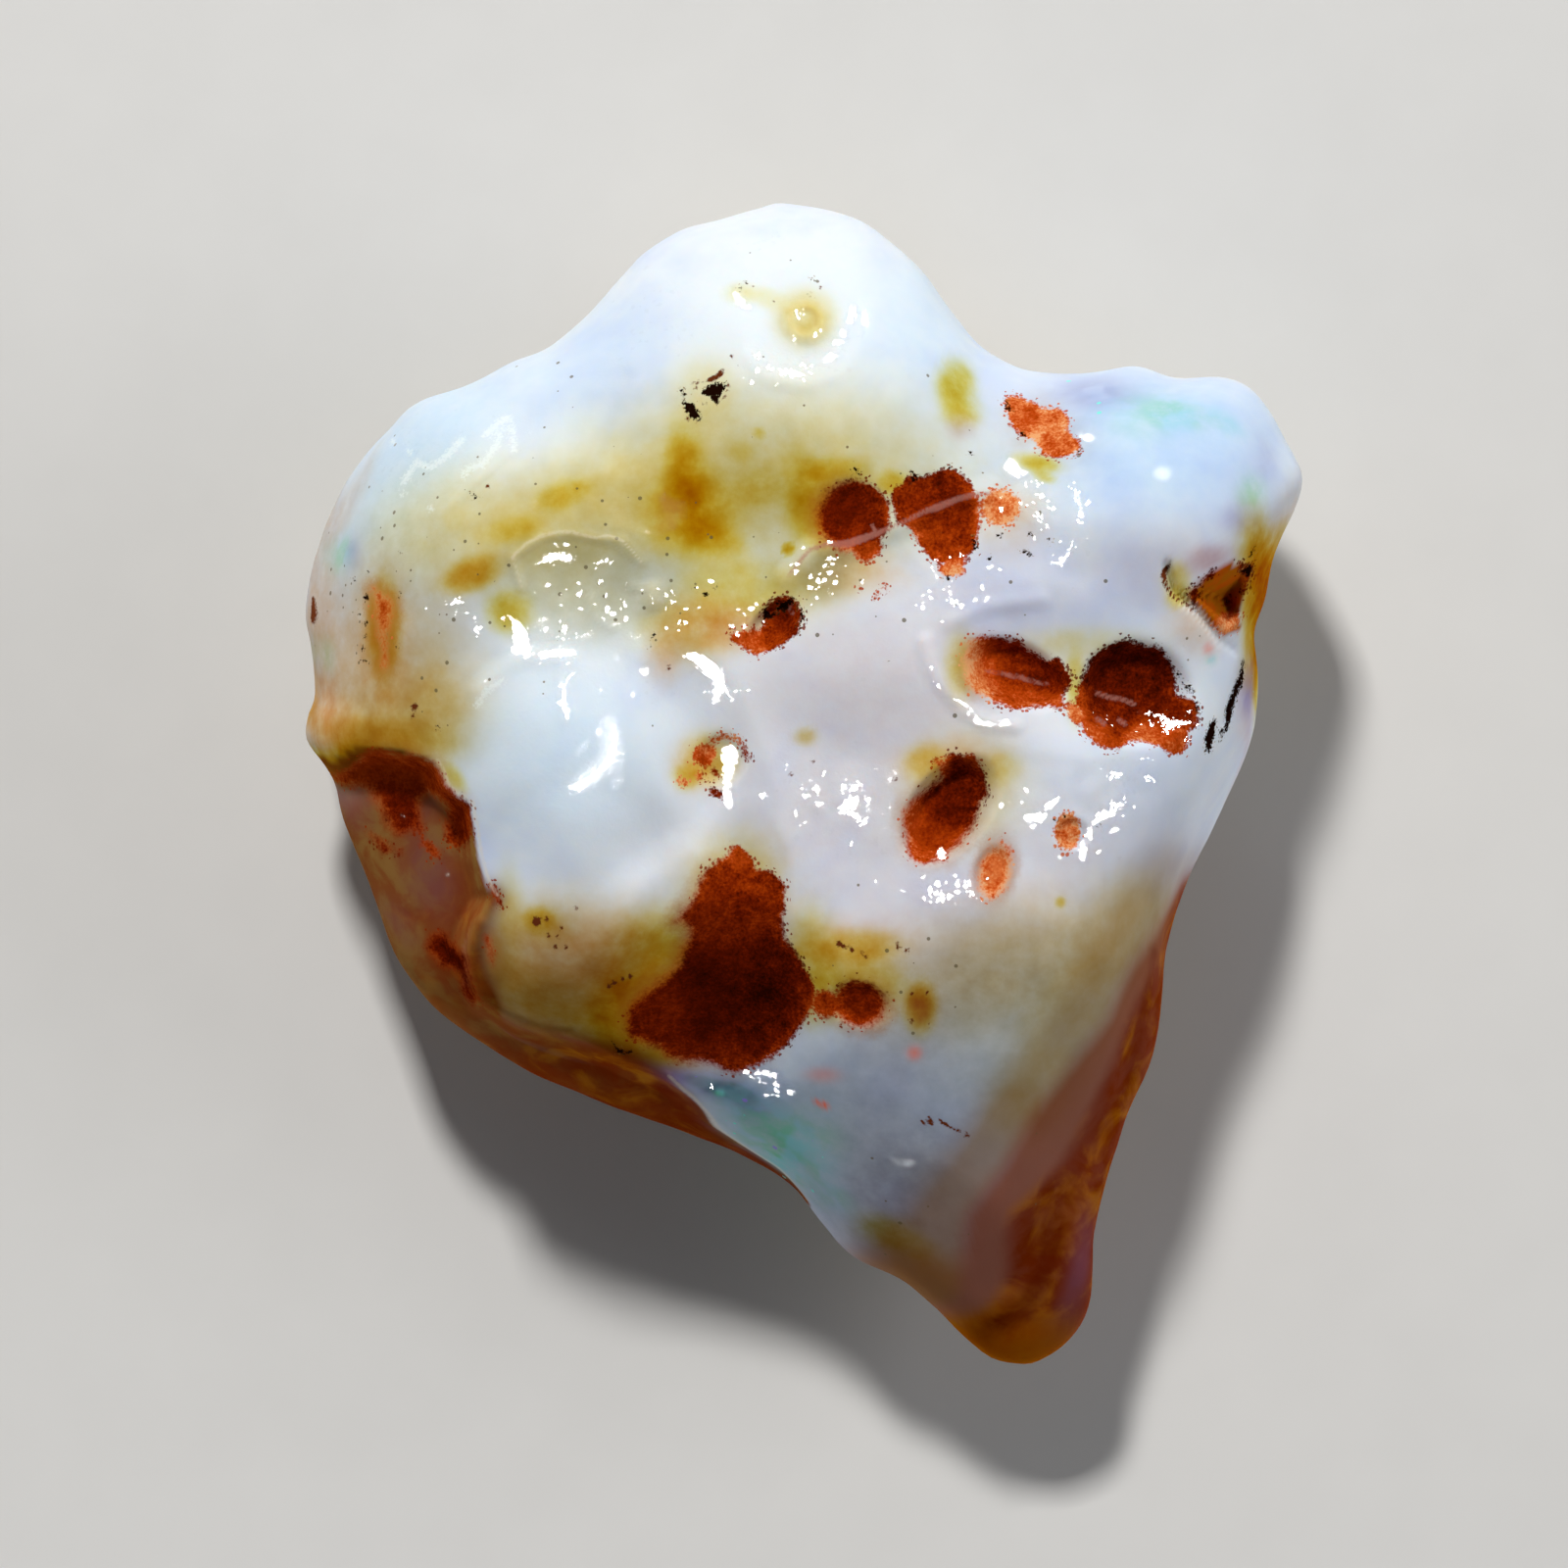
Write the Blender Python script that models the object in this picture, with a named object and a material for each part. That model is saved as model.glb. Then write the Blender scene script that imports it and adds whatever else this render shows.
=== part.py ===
"""A rough fire opal: one natural nodule of milky opal, lying on its back on a small flat patch.

The stone is drawn in millimetres. +Y runs from the narrow tip to the broad crown, +X runs across
its face, and +Z points up out of the face. The origin is under the middle of the stone, on the
surface that it lies on. MM turns the drawing into Blender's metres.
"""

from collections import namedtuple

import bmesh
import bpy
import numpy as np
from mathutils import Vector, noise

MM = 0.001

# Driving sizes of the stone, in millimetres.
FACE_HEIGHT = 9.3  # the level part of the face, above the surface that the stone lies on
GIRTH_HEIGHT = 4.1  # the widest line round the stone, where face and back meet
GIRTH_RISE = 0.06  # how much that line climbs per millimetre towards the crown
BACK_BELLY = -0.17  # the lowest part of the back, which the flat patch cuts away down to here
BACK_CURVE = 0.0085  # how the back curves up from there, per millimetre squared
BACK_MIDDLE = (0.1, 0.9)  # under the stone's centre of mass, so that it rests level
LEAST_FACE = 1.8  # the face never comes nearer than this to the widest line's height
HEART = (0.6, 0.0)  # every point of the outline can be seen from here

# How full the stone is between its heart and its outline: a higher power is flatter and squarer.
FACE_FULLNESS = 5.0
BACK_FULLNESS = 3.2
WAVE_ANGLE = 11.0  # waves of the outline narrower than this, in degrees, stay at the outline
WAVE_FADE = 14  # how fast they fade inwards

SPHERE_LEVEL = 7
TRIANGLE_SHARE = 0.113  # share of the sphere's triangles that the finished stone keeps

# The outline seen from above, clockwise from the top of the crown.
OUTLINE = [
    (-0.4, 11.85), (0.85, 11.6), (1.6, 11.2), (2.4, 10.5), (3.0, 9.7), (3.6, 8.95), (4.4, 8.5),
    (5.2, 8.35), (6.0, 8.4), (6.8, 8.5), (7.6, 8.25), (8.5, 8.3), (9.1, 8.1), (9.5, 7.6),
    (9.75, 7.1), (10.15, 6.3), (10.0, 5.6), (9.6, 4.7), (9.4, 3.8), (9.2, 3.1), (9.3, 2.2),
    (9.25, 1.3), (8.95, 0.4), (8.4, -0.8), (7.85, -1.95), (7.5, -3.1), (7.3, -4.4), (7.1, -5.6),
    (6.55, -6.9), (6.2, -8.05), (5.95, -9.2), (5.85, -10.5), (5.5, -11.3), (4.8, -11.8),
    (4.35, -11.85), (3.8, -11.7), (3.2, -11.2), (2.6, -10.6), (2.0, -10.1), (1.05, -9.7),
    (0.45, -9.05), (-0.2, -8.25), (-1.2, -7.6), (-2.4, -7.15), (-4.0, -6.55), (-5.6, -5.85),
    (-6.8, -5.1), (-7.65, -4.4), (-8.3, -3.45), (-8.8, -2.05), (-9.35, -0.8), (-9.55, 0.0),
    (-9.75, 0.4), (-10.1, 0.9), (-10.1, 1.35), (-9.95, 1.85), (-10.05, 2.8), (-10.15, 3.5),
    (-10.0, 4.4), (-9.6, 5.6), (-9.15, 6.45), (-8.4, 7.25), (-7.85, 7.75), (-6.8, 8.15),
    (-6.0, 8.6), (-5.2, 8.9), (-4.4, 9.55), (-3.6, 10.45), (-3.2, 10.85), (-2.4, 11.3),
    (-1.6, 11.55), (-0.9, 11.75),
]  # fmt: skip

# A lump or a pit is an ellipse on the face: its middle, its two half-widths, the turn of the
# longer one in degrees, and how far it stands out. A negative height is a hollow.
Relief = namedtuple("Relief", "name x y long short turn height")

FACE_LUMPS = [
    Relief("crown dome", 0.2, 9.0, 5.2, 4.2, 0, 0.8),
    Relief("wing dome", 7.4, 6.2, 3.8, 2.8, -20, 0.8),
    Relief("hollow between crown and wing", 4.6, 7.2, 2.6, 1.7, -35, -0.5),
    Relief("left shoulder", -7.4, 5.4, 3.4, 2.8, 40, 0.45),
    Relief("valley under the crown", -0.6, 6.1, 5.2, 1.9, -4, -0.45),
    Relief("scoop", -4.4, 3.9, 2.8, 1.6, 0, -0.6),
    Relief("bump in the scoop", -3.1, 3.8, 0.5, 0.35, 60, 0.14),
    Relief("cheek beside the scoop", -8.0, 2.2, 2.2, 2.4, 0, 0.3),
    Relief("boss", -4.8, 0.4, 2.9, 2.5, -10, 0.7),
    Relief("lobe below the boss", -4.9, -2.7, 3.0, 2.1, 75, 0.6),
    Relief("dimple on the boss", -4.4, 0.9, 1.2, 1.0, 30, -0.2),
    Relief("gully beside the boss", -1.9, 0.6, 3.0, 1.2, -70, -0.4),
    Relief("swell in the middle", 1.4, 2.7, 2.9, 2.3, 10, 0.45),
    Relief("hollow round the two right pits", 5.4, 2.3, 3.3, 1.8, -6, -0.4),
    Relief("bowl of the great stain", -1.5, -4.4, 2.6, 2.2, 0, -0.6),
    Relief("gully above the bowl", -1.2, -2.2, 2.0, 1.1, 90, -0.4),
    Relief("belly", 2.8, -4.6, 4.2, 3.4, 20, 0.45),
    Relief("fold left of the gully", -3.4, -2.6, 2.2, 0.8, 50, 0.25),
    Relief("knob on the left edge", -9.6, 1.0, 0.9, 0.9, 0, 0.5),
    Relief("dip before the tip", 2.6, -9.2, 2.2, 1.4, -45, -0.3),
    Relief("knob at the tip", 5.0, -11.0, 1.4, 1.1, 0, 0.5),
]

FACE_PITS = [
    Relief("dish on the crown", 0.05, 9.4, 1.4, 1.35, 0, -0.16),
    Relief("nipple in the dish", 0.05, 9.4, 0.55, 0.55, 0, 0.16),
    Relief("left twin pit", 1.0, 5.5, 0.85, 0.8, 0, -0.22),
    Relief("right twin pit", 2.75, 5.35, 1.1, 0.9, -60, -0.25),
    Relief("small deep pit", -0.75, 3.2, 0.9, 0.55, 30, -0.6),
    Relief("long pit", 4.3, 2.25, 1.2, 0.7, -25, -0.45),
    Relief("round pit", 6.75, 1.85, 1.3, 1.15, -15, -0.6),
    Relief("tilted pit", 2.95, -0.5, 1.35, 0.85, 50, -0.6),
    Relief("drop beside the tilted pit", 3.8, -1.75, 0.6, 0.4, 70, -0.14),
    Relief("speck pit", 5.45, -1.0, 0.4, 0.35, 0, -0.14),
    Relief("pit beside the gully", -1.65, 0.5, 0.55, 0.6, 0, -0.2),
    Relief("pit on the belly", 1.15, -4.45, 0.7, 0.5, -10, -0.18),
]

BACK_LUMPS = [
    Relief("crown scoop", 1.5, 8.6, 4.0, 2.6, 20, -0.9),
    Relief("wing scoop", 7.2, 5.6, 2.8, 2.2, -40, -0.6),
    Relief("left ridge", -6.6, 3.4, 3.2, 1.5, 60, 0.35),
    Relief("left scoop", -6.8, -1.4, 2.8, 2.0, -30, -0.7),
    Relief("right scoop", 7.4, 0.6, 2.6, 1.8, 80, -0.5),
    Relief("shell-shaped chip", 2.6, -6.6, 3.4, 2.0, -60, -0.8),
    Relief("spur behind the tip", 4.4, -9.6, 2.4, 1.3, 80, 0.4),
    Relief("pit in the back", -1.8, 6.6, 1.0, 0.8, 15, -0.4),
    Relief("second pit in the back", 6.6, -1.8, 0.9, 0.7, -40, -0.4),
]

# The broken flank: the face ends in a sharp edge along here, and the stone steps down beyond it.
BROKEN_EDGE = [
    (-11.0, 0.5), (-9.7, 0.4), (-9.1, 0.75), (-8.3, 0.8), (-7.45, 0.5), (-7.2, 0.0), (-6.75, -0.4),
    (-6.6, -1.3), (-6.3, -2.3), (-6.6, -2.85), (-6.75, -3.5), (-6.5, -4.3), (-5.8, -4.8),
    (-4.8, -5.0), (-3.8, -5.4), (-2.8, -5.9), (-1.5, -7.05), (-0.6, -7.75), (0.0, -8.45),
    (0.3, -9.6),
]  # fmt: skip
BEYOND_BROKEN_EDGE = [(-4.0, -12.0), (-12.0, -8.0)]  # closes the flank well outside the stone
BROKEN_STEP = 1.7
BROKEN_STEP_AT_TIP = 0.9
BROKEN_RUN = 0.45  # how far out the step takes to go down

# The cavity in the corner under the wing: three straight sides that fall in steeply.
CORNER_CAVITY = [(7.7, 3.9), (9.1, 4.5), (9.0, 3.4), (8.6, 3.1)]
CORNER_DEPTH = 1.6
CORNER_RUN = 0.5

# A thin crest that crosses the twin pits.
CREST = [(-0.3, 4.2), (0.2, 4.75), (1.2, 4.95), (2.0, 5.3), (2.8, 5.7), (3.7, 5.95)]
CREST_HEIGHT = 0.16
CREST_WIDTH = 0.4

# The right wall: a soft shoulder from beside the pits down to the tip, then a plane falling away.
WALL_EDGE = [
    (9.6, 1.6), (7.9, -1.0), (6.6, -3.2), (4.9, -6.0), (4.1, -8.0), (3.5, -9.4), (2.8, -11.0),
    (2.2, -13.0),
]  # fmt: skip
BEYOND_WALL_EDGE = [(4.4, -14.0), (12.0, -14.0), (12.0, 1.6)]
WALL_SLOPE = 1.5
WALL_SHOULDER = 0.5

# The planes that the face is made of, each falling away from a level line.
LOWER_PLANE = (-3.0, 0.40)  # the y it starts at, and its fall per millimetre towards the tip
CROWN_PLANE = (6.2, 0.34)  # the same towards the crown
LEFT_PLANE = (-5.6, 0.26)  # the x it starts at, and its fall towards the left
BACK_TIP_PLANE = (-5.0, 0.05)
BACK_CROWN_PLANE = (6.5, 0.14)
PLANE_BLEND = 0.5

# Gentle unevenness of a water-worn stone: wavelength and height in millimetres.
UNEVENNESS = [(5.0, 0.22), (2.1, 0.09), (0.9, 0.035)]


def clear_scene():
    for obj in list(bpy.data.objects):
        bpy.data.objects.remove(obj, do_unlink=True)


def smooth_step(value):
    t = np.clip(value, 0.0, 1.0)
    return t * t * (3.0 - 2.0 * t)


def smooth_least(a, b, blend):
    """The lower of two heights, with the crease between them rounded."""
    apart = np.clip(0.5 + 0.5 * (b - a) / blend, 0.0, 1.0)
    return b + (a - b) * apart - blend * apart * (1.0 - apart)


def closed_curve(points, steps):
    """A smooth closed curve through the points, as steps points for each of them."""
    here = np.array(points)
    before = np.roll(here, 1, axis=0)
    after = np.roll(here, -1, axis=0)
    beyond = np.roll(here, -2, axis=0)
    t = np.linspace(0.0, 1.0, steps, endpoint=False)[:, None, None]
    square = 2.0 * before - 5.0 * here + 4.0 * after - beyond
    cube = 3.0 * here - before - 3.0 * after + beyond
    curve = 0.5 * (2.0 * here + (after - before) * t + square * t**2 + cube * t**3)
    return curve.transpose(1, 0, 2).reshape(-1, 2)


def outline_reach(angle):
    """How far the outline lies from the heart in each direction."""
    curve = closed_curve(OUTLINE, steps=12) - HEART
    turn = np.arctan2(curve[:, 1], curve[:, 0])
    order = np.argsort(turn)
    reach = np.hypot(curve[:, 0], curve[:, 1])
    return np.interp(angle, turn[order], reach[order], period=2.0 * np.pi)


def softened_reach(angle):
    """The outline without its small waves, which don't run on over the face and the back."""
    offsets = np.linspace(-WAVE_ANGLE, WAVE_ANGLE, 9)
    weights = 1.0 - (offsets / WAVE_ANGLE) ** 2 * 0.9
    total = sum(w * outline_reach(angle + np.radians(o)) for o, w in zip(offsets, weights))
    return total / weights.sum()


def ellipse_distance(x, y, relief):
    """0 at the middle of an ellipse and 1 on its edge."""
    turn = np.radians(relief.turn)
    along = (x - relief.x) * np.cos(turn) + (y - relief.y) * np.sin(turn)
    across = (y - relief.y) * np.cos(turn) - (x - relief.x) * np.sin(turn)
    return np.hypot(along / relief.long, across / relief.short)


def lumps_height(x, y, lumps):
    """Soft domes and hollows, which fade out smoothly at their edges."""
    height = np.zeros_like(x)
    for lump in lumps:
        inside = np.clip(1.0 - ellipse_distance(x, y, lump) ** 2, 0.0, 1.0)
        height += lump.height * inside**2 * (1.5 - 0.5 * inside)
    return height


def pits_height(x, y, pits):
    """Pits with a level floor and a steep wall."""
    wall_share = 0.5
    height = np.zeros_like(x)
    for pit in pits:
        inside = (1.0 - ellipse_distance(x, y, pit)) / wall_share
        height += pit.height * smooth_step(inside)
    return height


def distance_to_line(x, y, line):
    """How far each place is from a line of straight runs."""
    nearest = np.full_like(x, np.inf)
    for (ax, ay), (bx, by) in zip(line[:-1], line[1:]):
        run_x, run_y = bx - ax, by - ay
        along = ((x - ax) * run_x + (y - ay) * run_y) / (run_x**2 + run_y**2)
        along = np.clip(along, 0.0, 1.0)
        away = np.hypot(x - ax - along * run_x, y - ay - along * run_y)
        nearest = np.minimum(nearest, away)
    return nearest


def beyond_edge(x, y, edge, closing):
    """Distance past an edge into the area closed by the closing points, and 0 before the edge."""
    corners = edge + closing
    inside = np.zeros(x.shape, bool)
    for (ax, ay), (bx, by) in zip(corners, corners[1:] + corners[:1]):
        if ay != by:
            crosses = (ay > y) != (by > y)
            inside ^= crosses & (x < ax + (y - ay) * (bx - ax) / (by - ay))
    return np.where(inside, distance_to_line(x, y, edge), 0.0)


def broken_flank_drop(x, y):
    """The step down past the broken edge, deepest at the left and shallower towards the tip."""
    past = beyond_edge(x, y, BROKEN_EDGE, BEYOND_BROKEN_EDGE)
    towards_tip = smooth_step((x + 6.5) / 5.0)
    step = BROKEN_STEP + (BROKEN_STEP_AT_TIP - BROKEN_STEP) * towards_tip
    return step * smooth_step(past / BROKEN_RUN)


def right_wall_drop(x, y):
    past = beyond_edge(x, y, WALL_EDGE, BEYOND_WALL_EDGE)
    return WALL_SLOPE * (np.hypot(past, WALL_SHOULDER) - WALL_SHOULDER)


def corner_cavity_depth(x, y):
    inside = beyond_edge(x, y, CORNER_CAVITY + CORNER_CAVITY[:1], [])
    return CORNER_DEPTH * smooth_step(inside / CORNER_RUN)


def crest_height(x, y):
    away = distance_to_line(x, y, CREST)
    return CREST_HEIGHT * (1.0 - smooth_step(away / CREST_WIDTH))


def face_level(x, y):
    """The planes of the face before any lump or pit."""
    level = np.full_like(x, FACE_HEIGHT)
    lower_start, lower_fall = LOWER_PLANE
    crown_start, crown_fall = CROWN_PLANE
    left_start, left_fall = LEFT_PLANE
    level = smooth_least(level, FACE_HEIGHT - lower_fall * (lower_start - y), PLANE_BLEND)
    level = smooth_least(level, FACE_HEIGHT - crown_fall * (y - crown_start), PLANE_BLEND)
    return smooth_least(level, FACE_HEIGHT - left_fall * (left_start - x), PLANE_BLEND)


def unevenness(x, y, side):
    """Random low waves over the stone, different on the face and on the back."""
    height = np.zeros_like(x)
    for wavelength, rise in UNEVENNESS:
        places = zip(x / wavelength, y / wavelength)
        height += rise * np.array([noise.noise(Vector((a, b, side * 7.3))) for a, b in places])
    return height


def girth_height(x, y):
    """The height of the widest line round the stone, which wanders a little."""
    wander = 0.4 * np.sin(0.42 * x + 0.3 * y + 1.0) + 0.35 * np.cos(0.5 * y - 0.25 * x - 0.6)
    return GIRTH_HEIGHT + GIRTH_RISE * y + wander


def face_rise(x, y):
    """How far the face stands above the widest line, before it is rounded off at the outline."""
    level = face_level(x, y) + lumps_height(x, y, FACE_LUMPS) + pits_height(x, y, FACE_PITS)
    level += unevenness(x, y, side=1.0) + crest_height(x, y) - corner_cavity_depth(x, y)
    rise = level - broken_flank_drop(x, y) - right_wall_drop(x, y) - girth_height(x, y)
    return -smooth_least(-rise, np.full_like(x, -LEAST_FACE), PLANE_BLEND)


def back_depth(x, y):
    """How far the back lies below the widest line, before it is rounded off at the outline."""
    tip_start, tip_rise = BACK_TIP_PLANE
    crown_start, crown_rise = BACK_CROWN_PLANE
    level = BACK_BELLY + BACK_CURVE * ((x - BACK_MIDDLE[0]) ** 2 + (y - BACK_MIDDLE[1]) ** 2)
    level += tip_rise * np.maximum(tip_start - y, 0.0) + crown_rise * np.maximum(y - crown_start, 0.0)
    level -= lumps_height(x, y, BACK_LUMPS) + unevenness(x, y, side=-1.0)
    return girth_height(x, y) - level


def stone_points(sphere):
    """Moves the points of a unit sphere onto the stone: its equator becomes the outline."""
    share = np.hypot(sphere[:, 0], sphere[:, 1])
    angle = np.arctan2(sphere[:, 1], sphere[:, 0])
    edge = outline_reach(angle)
    soft = softened_reach(angle)
    reach = share * (soft + (edge - soft) * share**WAVE_FADE)
    x = HEART[0] + reach * np.cos(angle)
    y = HEART[1] + reach * np.sin(angle)
    girth = girth_height(x, y)
    face = girth + face_rise(x, y) * np.sqrt(np.clip(1.0 - share**FACE_FULLNESS, 0.0, 1.0))
    back = girth - back_depth(x, y) * np.sqrt(np.clip(1.0 - share**BACK_FULLNESS, 0.0, 1.0))
    return np.column_stack((x, y, np.where(sphere[:, 2] > 0.0, face, back)))


def fine_stone_mesh():
    """The stone at full detail, as an evenly divided closed mesh."""
    ball = bmesh.new()
    bmesh.ops.create_icosphere(ball, subdivisions=SPHERE_LEVEL, radius=1.0)
    mesh = bpy.data.meshes.new("fine stone")
    ball.to_mesh(mesh)
    ball.free()
    points = np.empty(len(mesh.vertices) * 3)
    mesh.vertices.foreach_get("co", points)
    moved = stone_points(points.reshape(-1, 3)) * MM
    mesh.vertices.foreach_set("co", moved.ravel())
    return mesh


def thinned(mesh):
    """The same shape with fewer triangles, which stay small where the stone curves most."""
    helper = bpy.data.objects.new("thinning helper", mesh)
    bpy.context.scene.collection.objects.link(helper)
    modifier = helper.modifiers.new("thin", "DECIMATE")
    modifier.ratio = TRIANGLE_SHARE
    graph = bpy.context.evaluated_depsgraph_get()
    thin = bpy.data.meshes.new_from_object(helper.evaluated_get(graph))
    bpy.data.objects.remove(helper, do_unlink=True)
    return thin


def rest_on_flat_patch(mesh):
    """Cuts the lowest part of the back off level, which leaves the patch that the stone lies on."""
    stone = bmesh.new()
    stone.from_mesh(mesh)
    everything = stone.verts[:] + stone.edges[:] + stone.faces[:]
    bmesh.ops.bisect_plane(
        stone, geom=everything, dist=0.0, plane_co=(0, 0, 0), plane_no=(0, 0, 1), clear_inner=True
    )
    rim = [edge for edge in stone.edges if edge.is_boundary]
    bmesh.ops.contextual_create(stone, geom=rim)
    bmesh.ops.recalc_face_normals(stone, faces=stone.faces)
    stone.to_mesh(mesh)
    stone.free()


def opal_material():
    """Milky blue-white opal with a wet shine."""
    material = bpy.data.materials.new("milky opal")
    material.use_nodes = True
    shader = material.node_tree.nodes["Principled BSDF"]
    shader.inputs["Base Color"].default_value = (0.58, 0.62, 0.64, 1.0)
    shader.inputs["Roughness"].default_value = 0.2
    shader.inputs["Metallic"].default_value = 0.0
    material.diffuse_color = (0.58, 0.62, 0.64, 1.0)
    return material


def build_opal():
    mesh = thinned(fine_stone_mesh())
    rest_on_flat_patch(mesh)
    mesh.shade_smooth()
    mesh.materials.append(opal_material())
    mesh.name = "opal"
    opal = bpy.data.objects.new("opal", mesh)
    bpy.context.scene.collection.objects.link(opal)


clear_scene()
build_opal()
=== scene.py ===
"""The looks of a rough fire opal that lies on its back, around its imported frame.

The stone is drawn in millimetres, as seen from above: +X to the right, +Y towards the broad
crown and +Z up out of its face. MM turns the drawing into Blender's metres.
"""

from collections import namedtuple

import bmesh
import bpy
import numpy as np
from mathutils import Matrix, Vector, noise


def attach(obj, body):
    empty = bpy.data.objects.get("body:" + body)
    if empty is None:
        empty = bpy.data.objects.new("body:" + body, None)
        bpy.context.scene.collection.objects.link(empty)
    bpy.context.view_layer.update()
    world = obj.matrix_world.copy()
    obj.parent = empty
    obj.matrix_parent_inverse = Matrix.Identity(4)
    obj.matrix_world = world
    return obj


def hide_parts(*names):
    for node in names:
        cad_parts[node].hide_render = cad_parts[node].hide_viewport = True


MM = 0.001

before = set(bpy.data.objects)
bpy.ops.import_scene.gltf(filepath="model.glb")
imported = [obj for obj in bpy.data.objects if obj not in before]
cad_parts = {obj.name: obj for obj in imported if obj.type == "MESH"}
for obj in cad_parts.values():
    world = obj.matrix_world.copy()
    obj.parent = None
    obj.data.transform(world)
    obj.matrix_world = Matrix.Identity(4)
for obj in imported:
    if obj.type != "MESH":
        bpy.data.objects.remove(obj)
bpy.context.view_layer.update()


# The milky nodule
# One lump of milky opal that grew in a hollow of its host rock, broken free and worn round.
# Its outline runs round a broad crown, a wing on the right and a narrow tip.

FACE_HEIGHT = 9.3  # the level part of the face, above the floor
GIRTH_HEIGHT = 4.1  # the widest line round the stone
GIRTH_RISE = 0.06  # how much that line climbs per millimetre towards the crown
GIRTH_WANDER = [(0.4, 0.42, 0.3, 1.0), (0.35, -0.25, 0.5, 0.97)]  # height, per x, per y, start
LEAST_FACE = 1.8  # the face never comes nearer than this to that line
FACE_FULLNESS = 5.0  # higher values make fuller sides
BACK_FULLNESS = 3.2
BACK_BELLY = -0.17  # the lowest part of the back, cut off level at the floor
BACK_CURVE = 0.0085  # how the back curves up from there, per millimetre squared
BACK_MIDDLE = (0.1, 0.9)
HEART = (0.6, 0.0)  # every point of the outline can be seen from here
WAVE_ANGLE = 11.0  # waves of the outline narrower than this, in degrees, stay at the outline
WAVE_SAMPLES = 9
WAVE_WEIGHT_LOSS = 0.9  # how much less the two ends of that angle count than its middle
WAVE_FADE = 14

# The outline seen from above, clockwise from the top of the crown.
OUTLINE = [
    (-0.4, 11.85), (0.85, 11.6), (1.6, 11.2), (2.4, 10.5), (3.0, 9.7), (3.6, 8.95), (4.4, 8.5),
    (5.2, 8.35), (6.0, 8.4), (6.8, 8.5), (7.6, 8.25), (8.5, 8.3), (9.1, 8.1), (9.5, 7.6),
    (9.75, 7.1), (10.15, 6.3), (10.0, 5.6), (9.6, 4.7), (9.4, 3.8), (9.2, 3.1), (9.3, 2.2),
    (9.25, 1.3), (8.95, 0.4), (8.4, -0.8), (7.85, -1.95), (7.5, -3.1), (7.3, -4.4), (7.1, -5.6),
    (6.55, -6.9), (6.2, -8.05), (5.95, -9.2), (5.85, -10.5), (5.5, -11.3), (4.8, -11.8),
    (4.35, -11.85), (3.8, -11.7), (3.2, -11.2), (2.6, -10.6), (2.0, -10.1), (1.05, -9.7),
    (0.45, -9.05), (-0.2, -8.25), (-1.2, -7.6), (-2.4, -7.15), (-4.0, -6.55), (-5.6, -5.85),
    (-6.8, -5.1), (-7.65, -4.4), (-8.3, -3.45), (-8.8, -2.05), (-9.35, -0.8), (-9.55, 0.0),
    (-9.75, 0.4), (-10.1, 0.9), (-10.1, 1.35), (-9.95, 1.85), (-10.05, 2.8), (-10.15, 3.5),
    (-10.0, 4.4), (-9.6, 5.6), (-9.15, 6.45), (-8.4, 7.25), (-7.85, 7.75), (-6.8, 8.15),
    (-6.0, 8.6), (-5.2, 8.9), (-4.4, 9.55), (-3.6, 10.45), (-3.2, 10.85), (-2.4, 11.3),
    (-1.6, 11.55), (-0.9, 11.75),
]

# The planes that the face and the back are made of, each falling away from a level line.
LOWER_PLANE = (-3.0, 0.40)  # the y it starts at, and its fall per millimetre towards the tip
CROWN_PLANE = (6.2, 0.34)
LEFT_PLANE = (-5.6, 0.26)
BACK_TIP_PLANE = (-5.0, 0.05)
BACK_CROWN_PLANE = (6.5, 0.14)
PLANE_BLEND = 0.5


def smooth_step(value):
    t = np.clip(value, 0.0, 1.0)
    return t * t * (3.0 - 2.0 * t)


def smooth_least(a, b, blend):
    """The lower of two heights, with the crease between them rounded."""
    apart = np.clip(0.5 + 0.5 * (b - a) / blend, 0.0, 1.0)
    return b + (a - b) * apart - blend * apart * (1.0 - apart)


def closed_curve(points, steps):
    """A smooth closed curve through the points."""
    here = np.array(points)
    before = np.roll(here, 1, axis=0)
    after = np.roll(here, -1, axis=0)
    beyond = np.roll(here, -2, axis=0)
    t = np.linspace(0.0, 1.0, steps, endpoint=False)[:, None, None]
    square = 2.0 * before - 5.0 * here + 4.0 * after - beyond
    cube = 3.0 * here - before - 3.0 * after + beyond
    curve = 0.5 * (2.0 * here + (after - before) * t + square * t**2 + cube * t**3)
    return curve.transpose(1, 0, 2).reshape(-1, 2)


def outline_reach(angle):
    """How far the outline lies from the heart in each direction."""
    curve = closed_curve(OUTLINE, steps=12) - HEART
    turn = np.arctan2(curve[:, 1], curve[:, 0])
    order = np.argsort(turn)
    reach = np.hypot(curve[:, 0], curve[:, 1])
    return np.interp(angle, turn[order], reach[order], period=2.0 * np.pi)


def softened_reach(angle):
    """The outline without its small waves, which don't run on over the face and the back."""
    offsets = np.linspace(-WAVE_ANGLE, WAVE_ANGLE, WAVE_SAMPLES)
    weights = 1.0 - (offsets / WAVE_ANGLE) ** 2 * WAVE_WEIGHT_LOSS
    total = sum(w * outline_reach(angle + np.radians(o)) for o, w in zip(offsets, weights))
    return total / weights.sum()


def girth_height(x, y):
    """The height of the widest line round the stone, which wanders a little."""
    wander = sum(rise * np.sin(px * x + py * y + start) for rise, px, py, start in GIRTH_WANDER)
    return GIRTH_HEIGHT + GIRTH_RISE * y + wander


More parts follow.
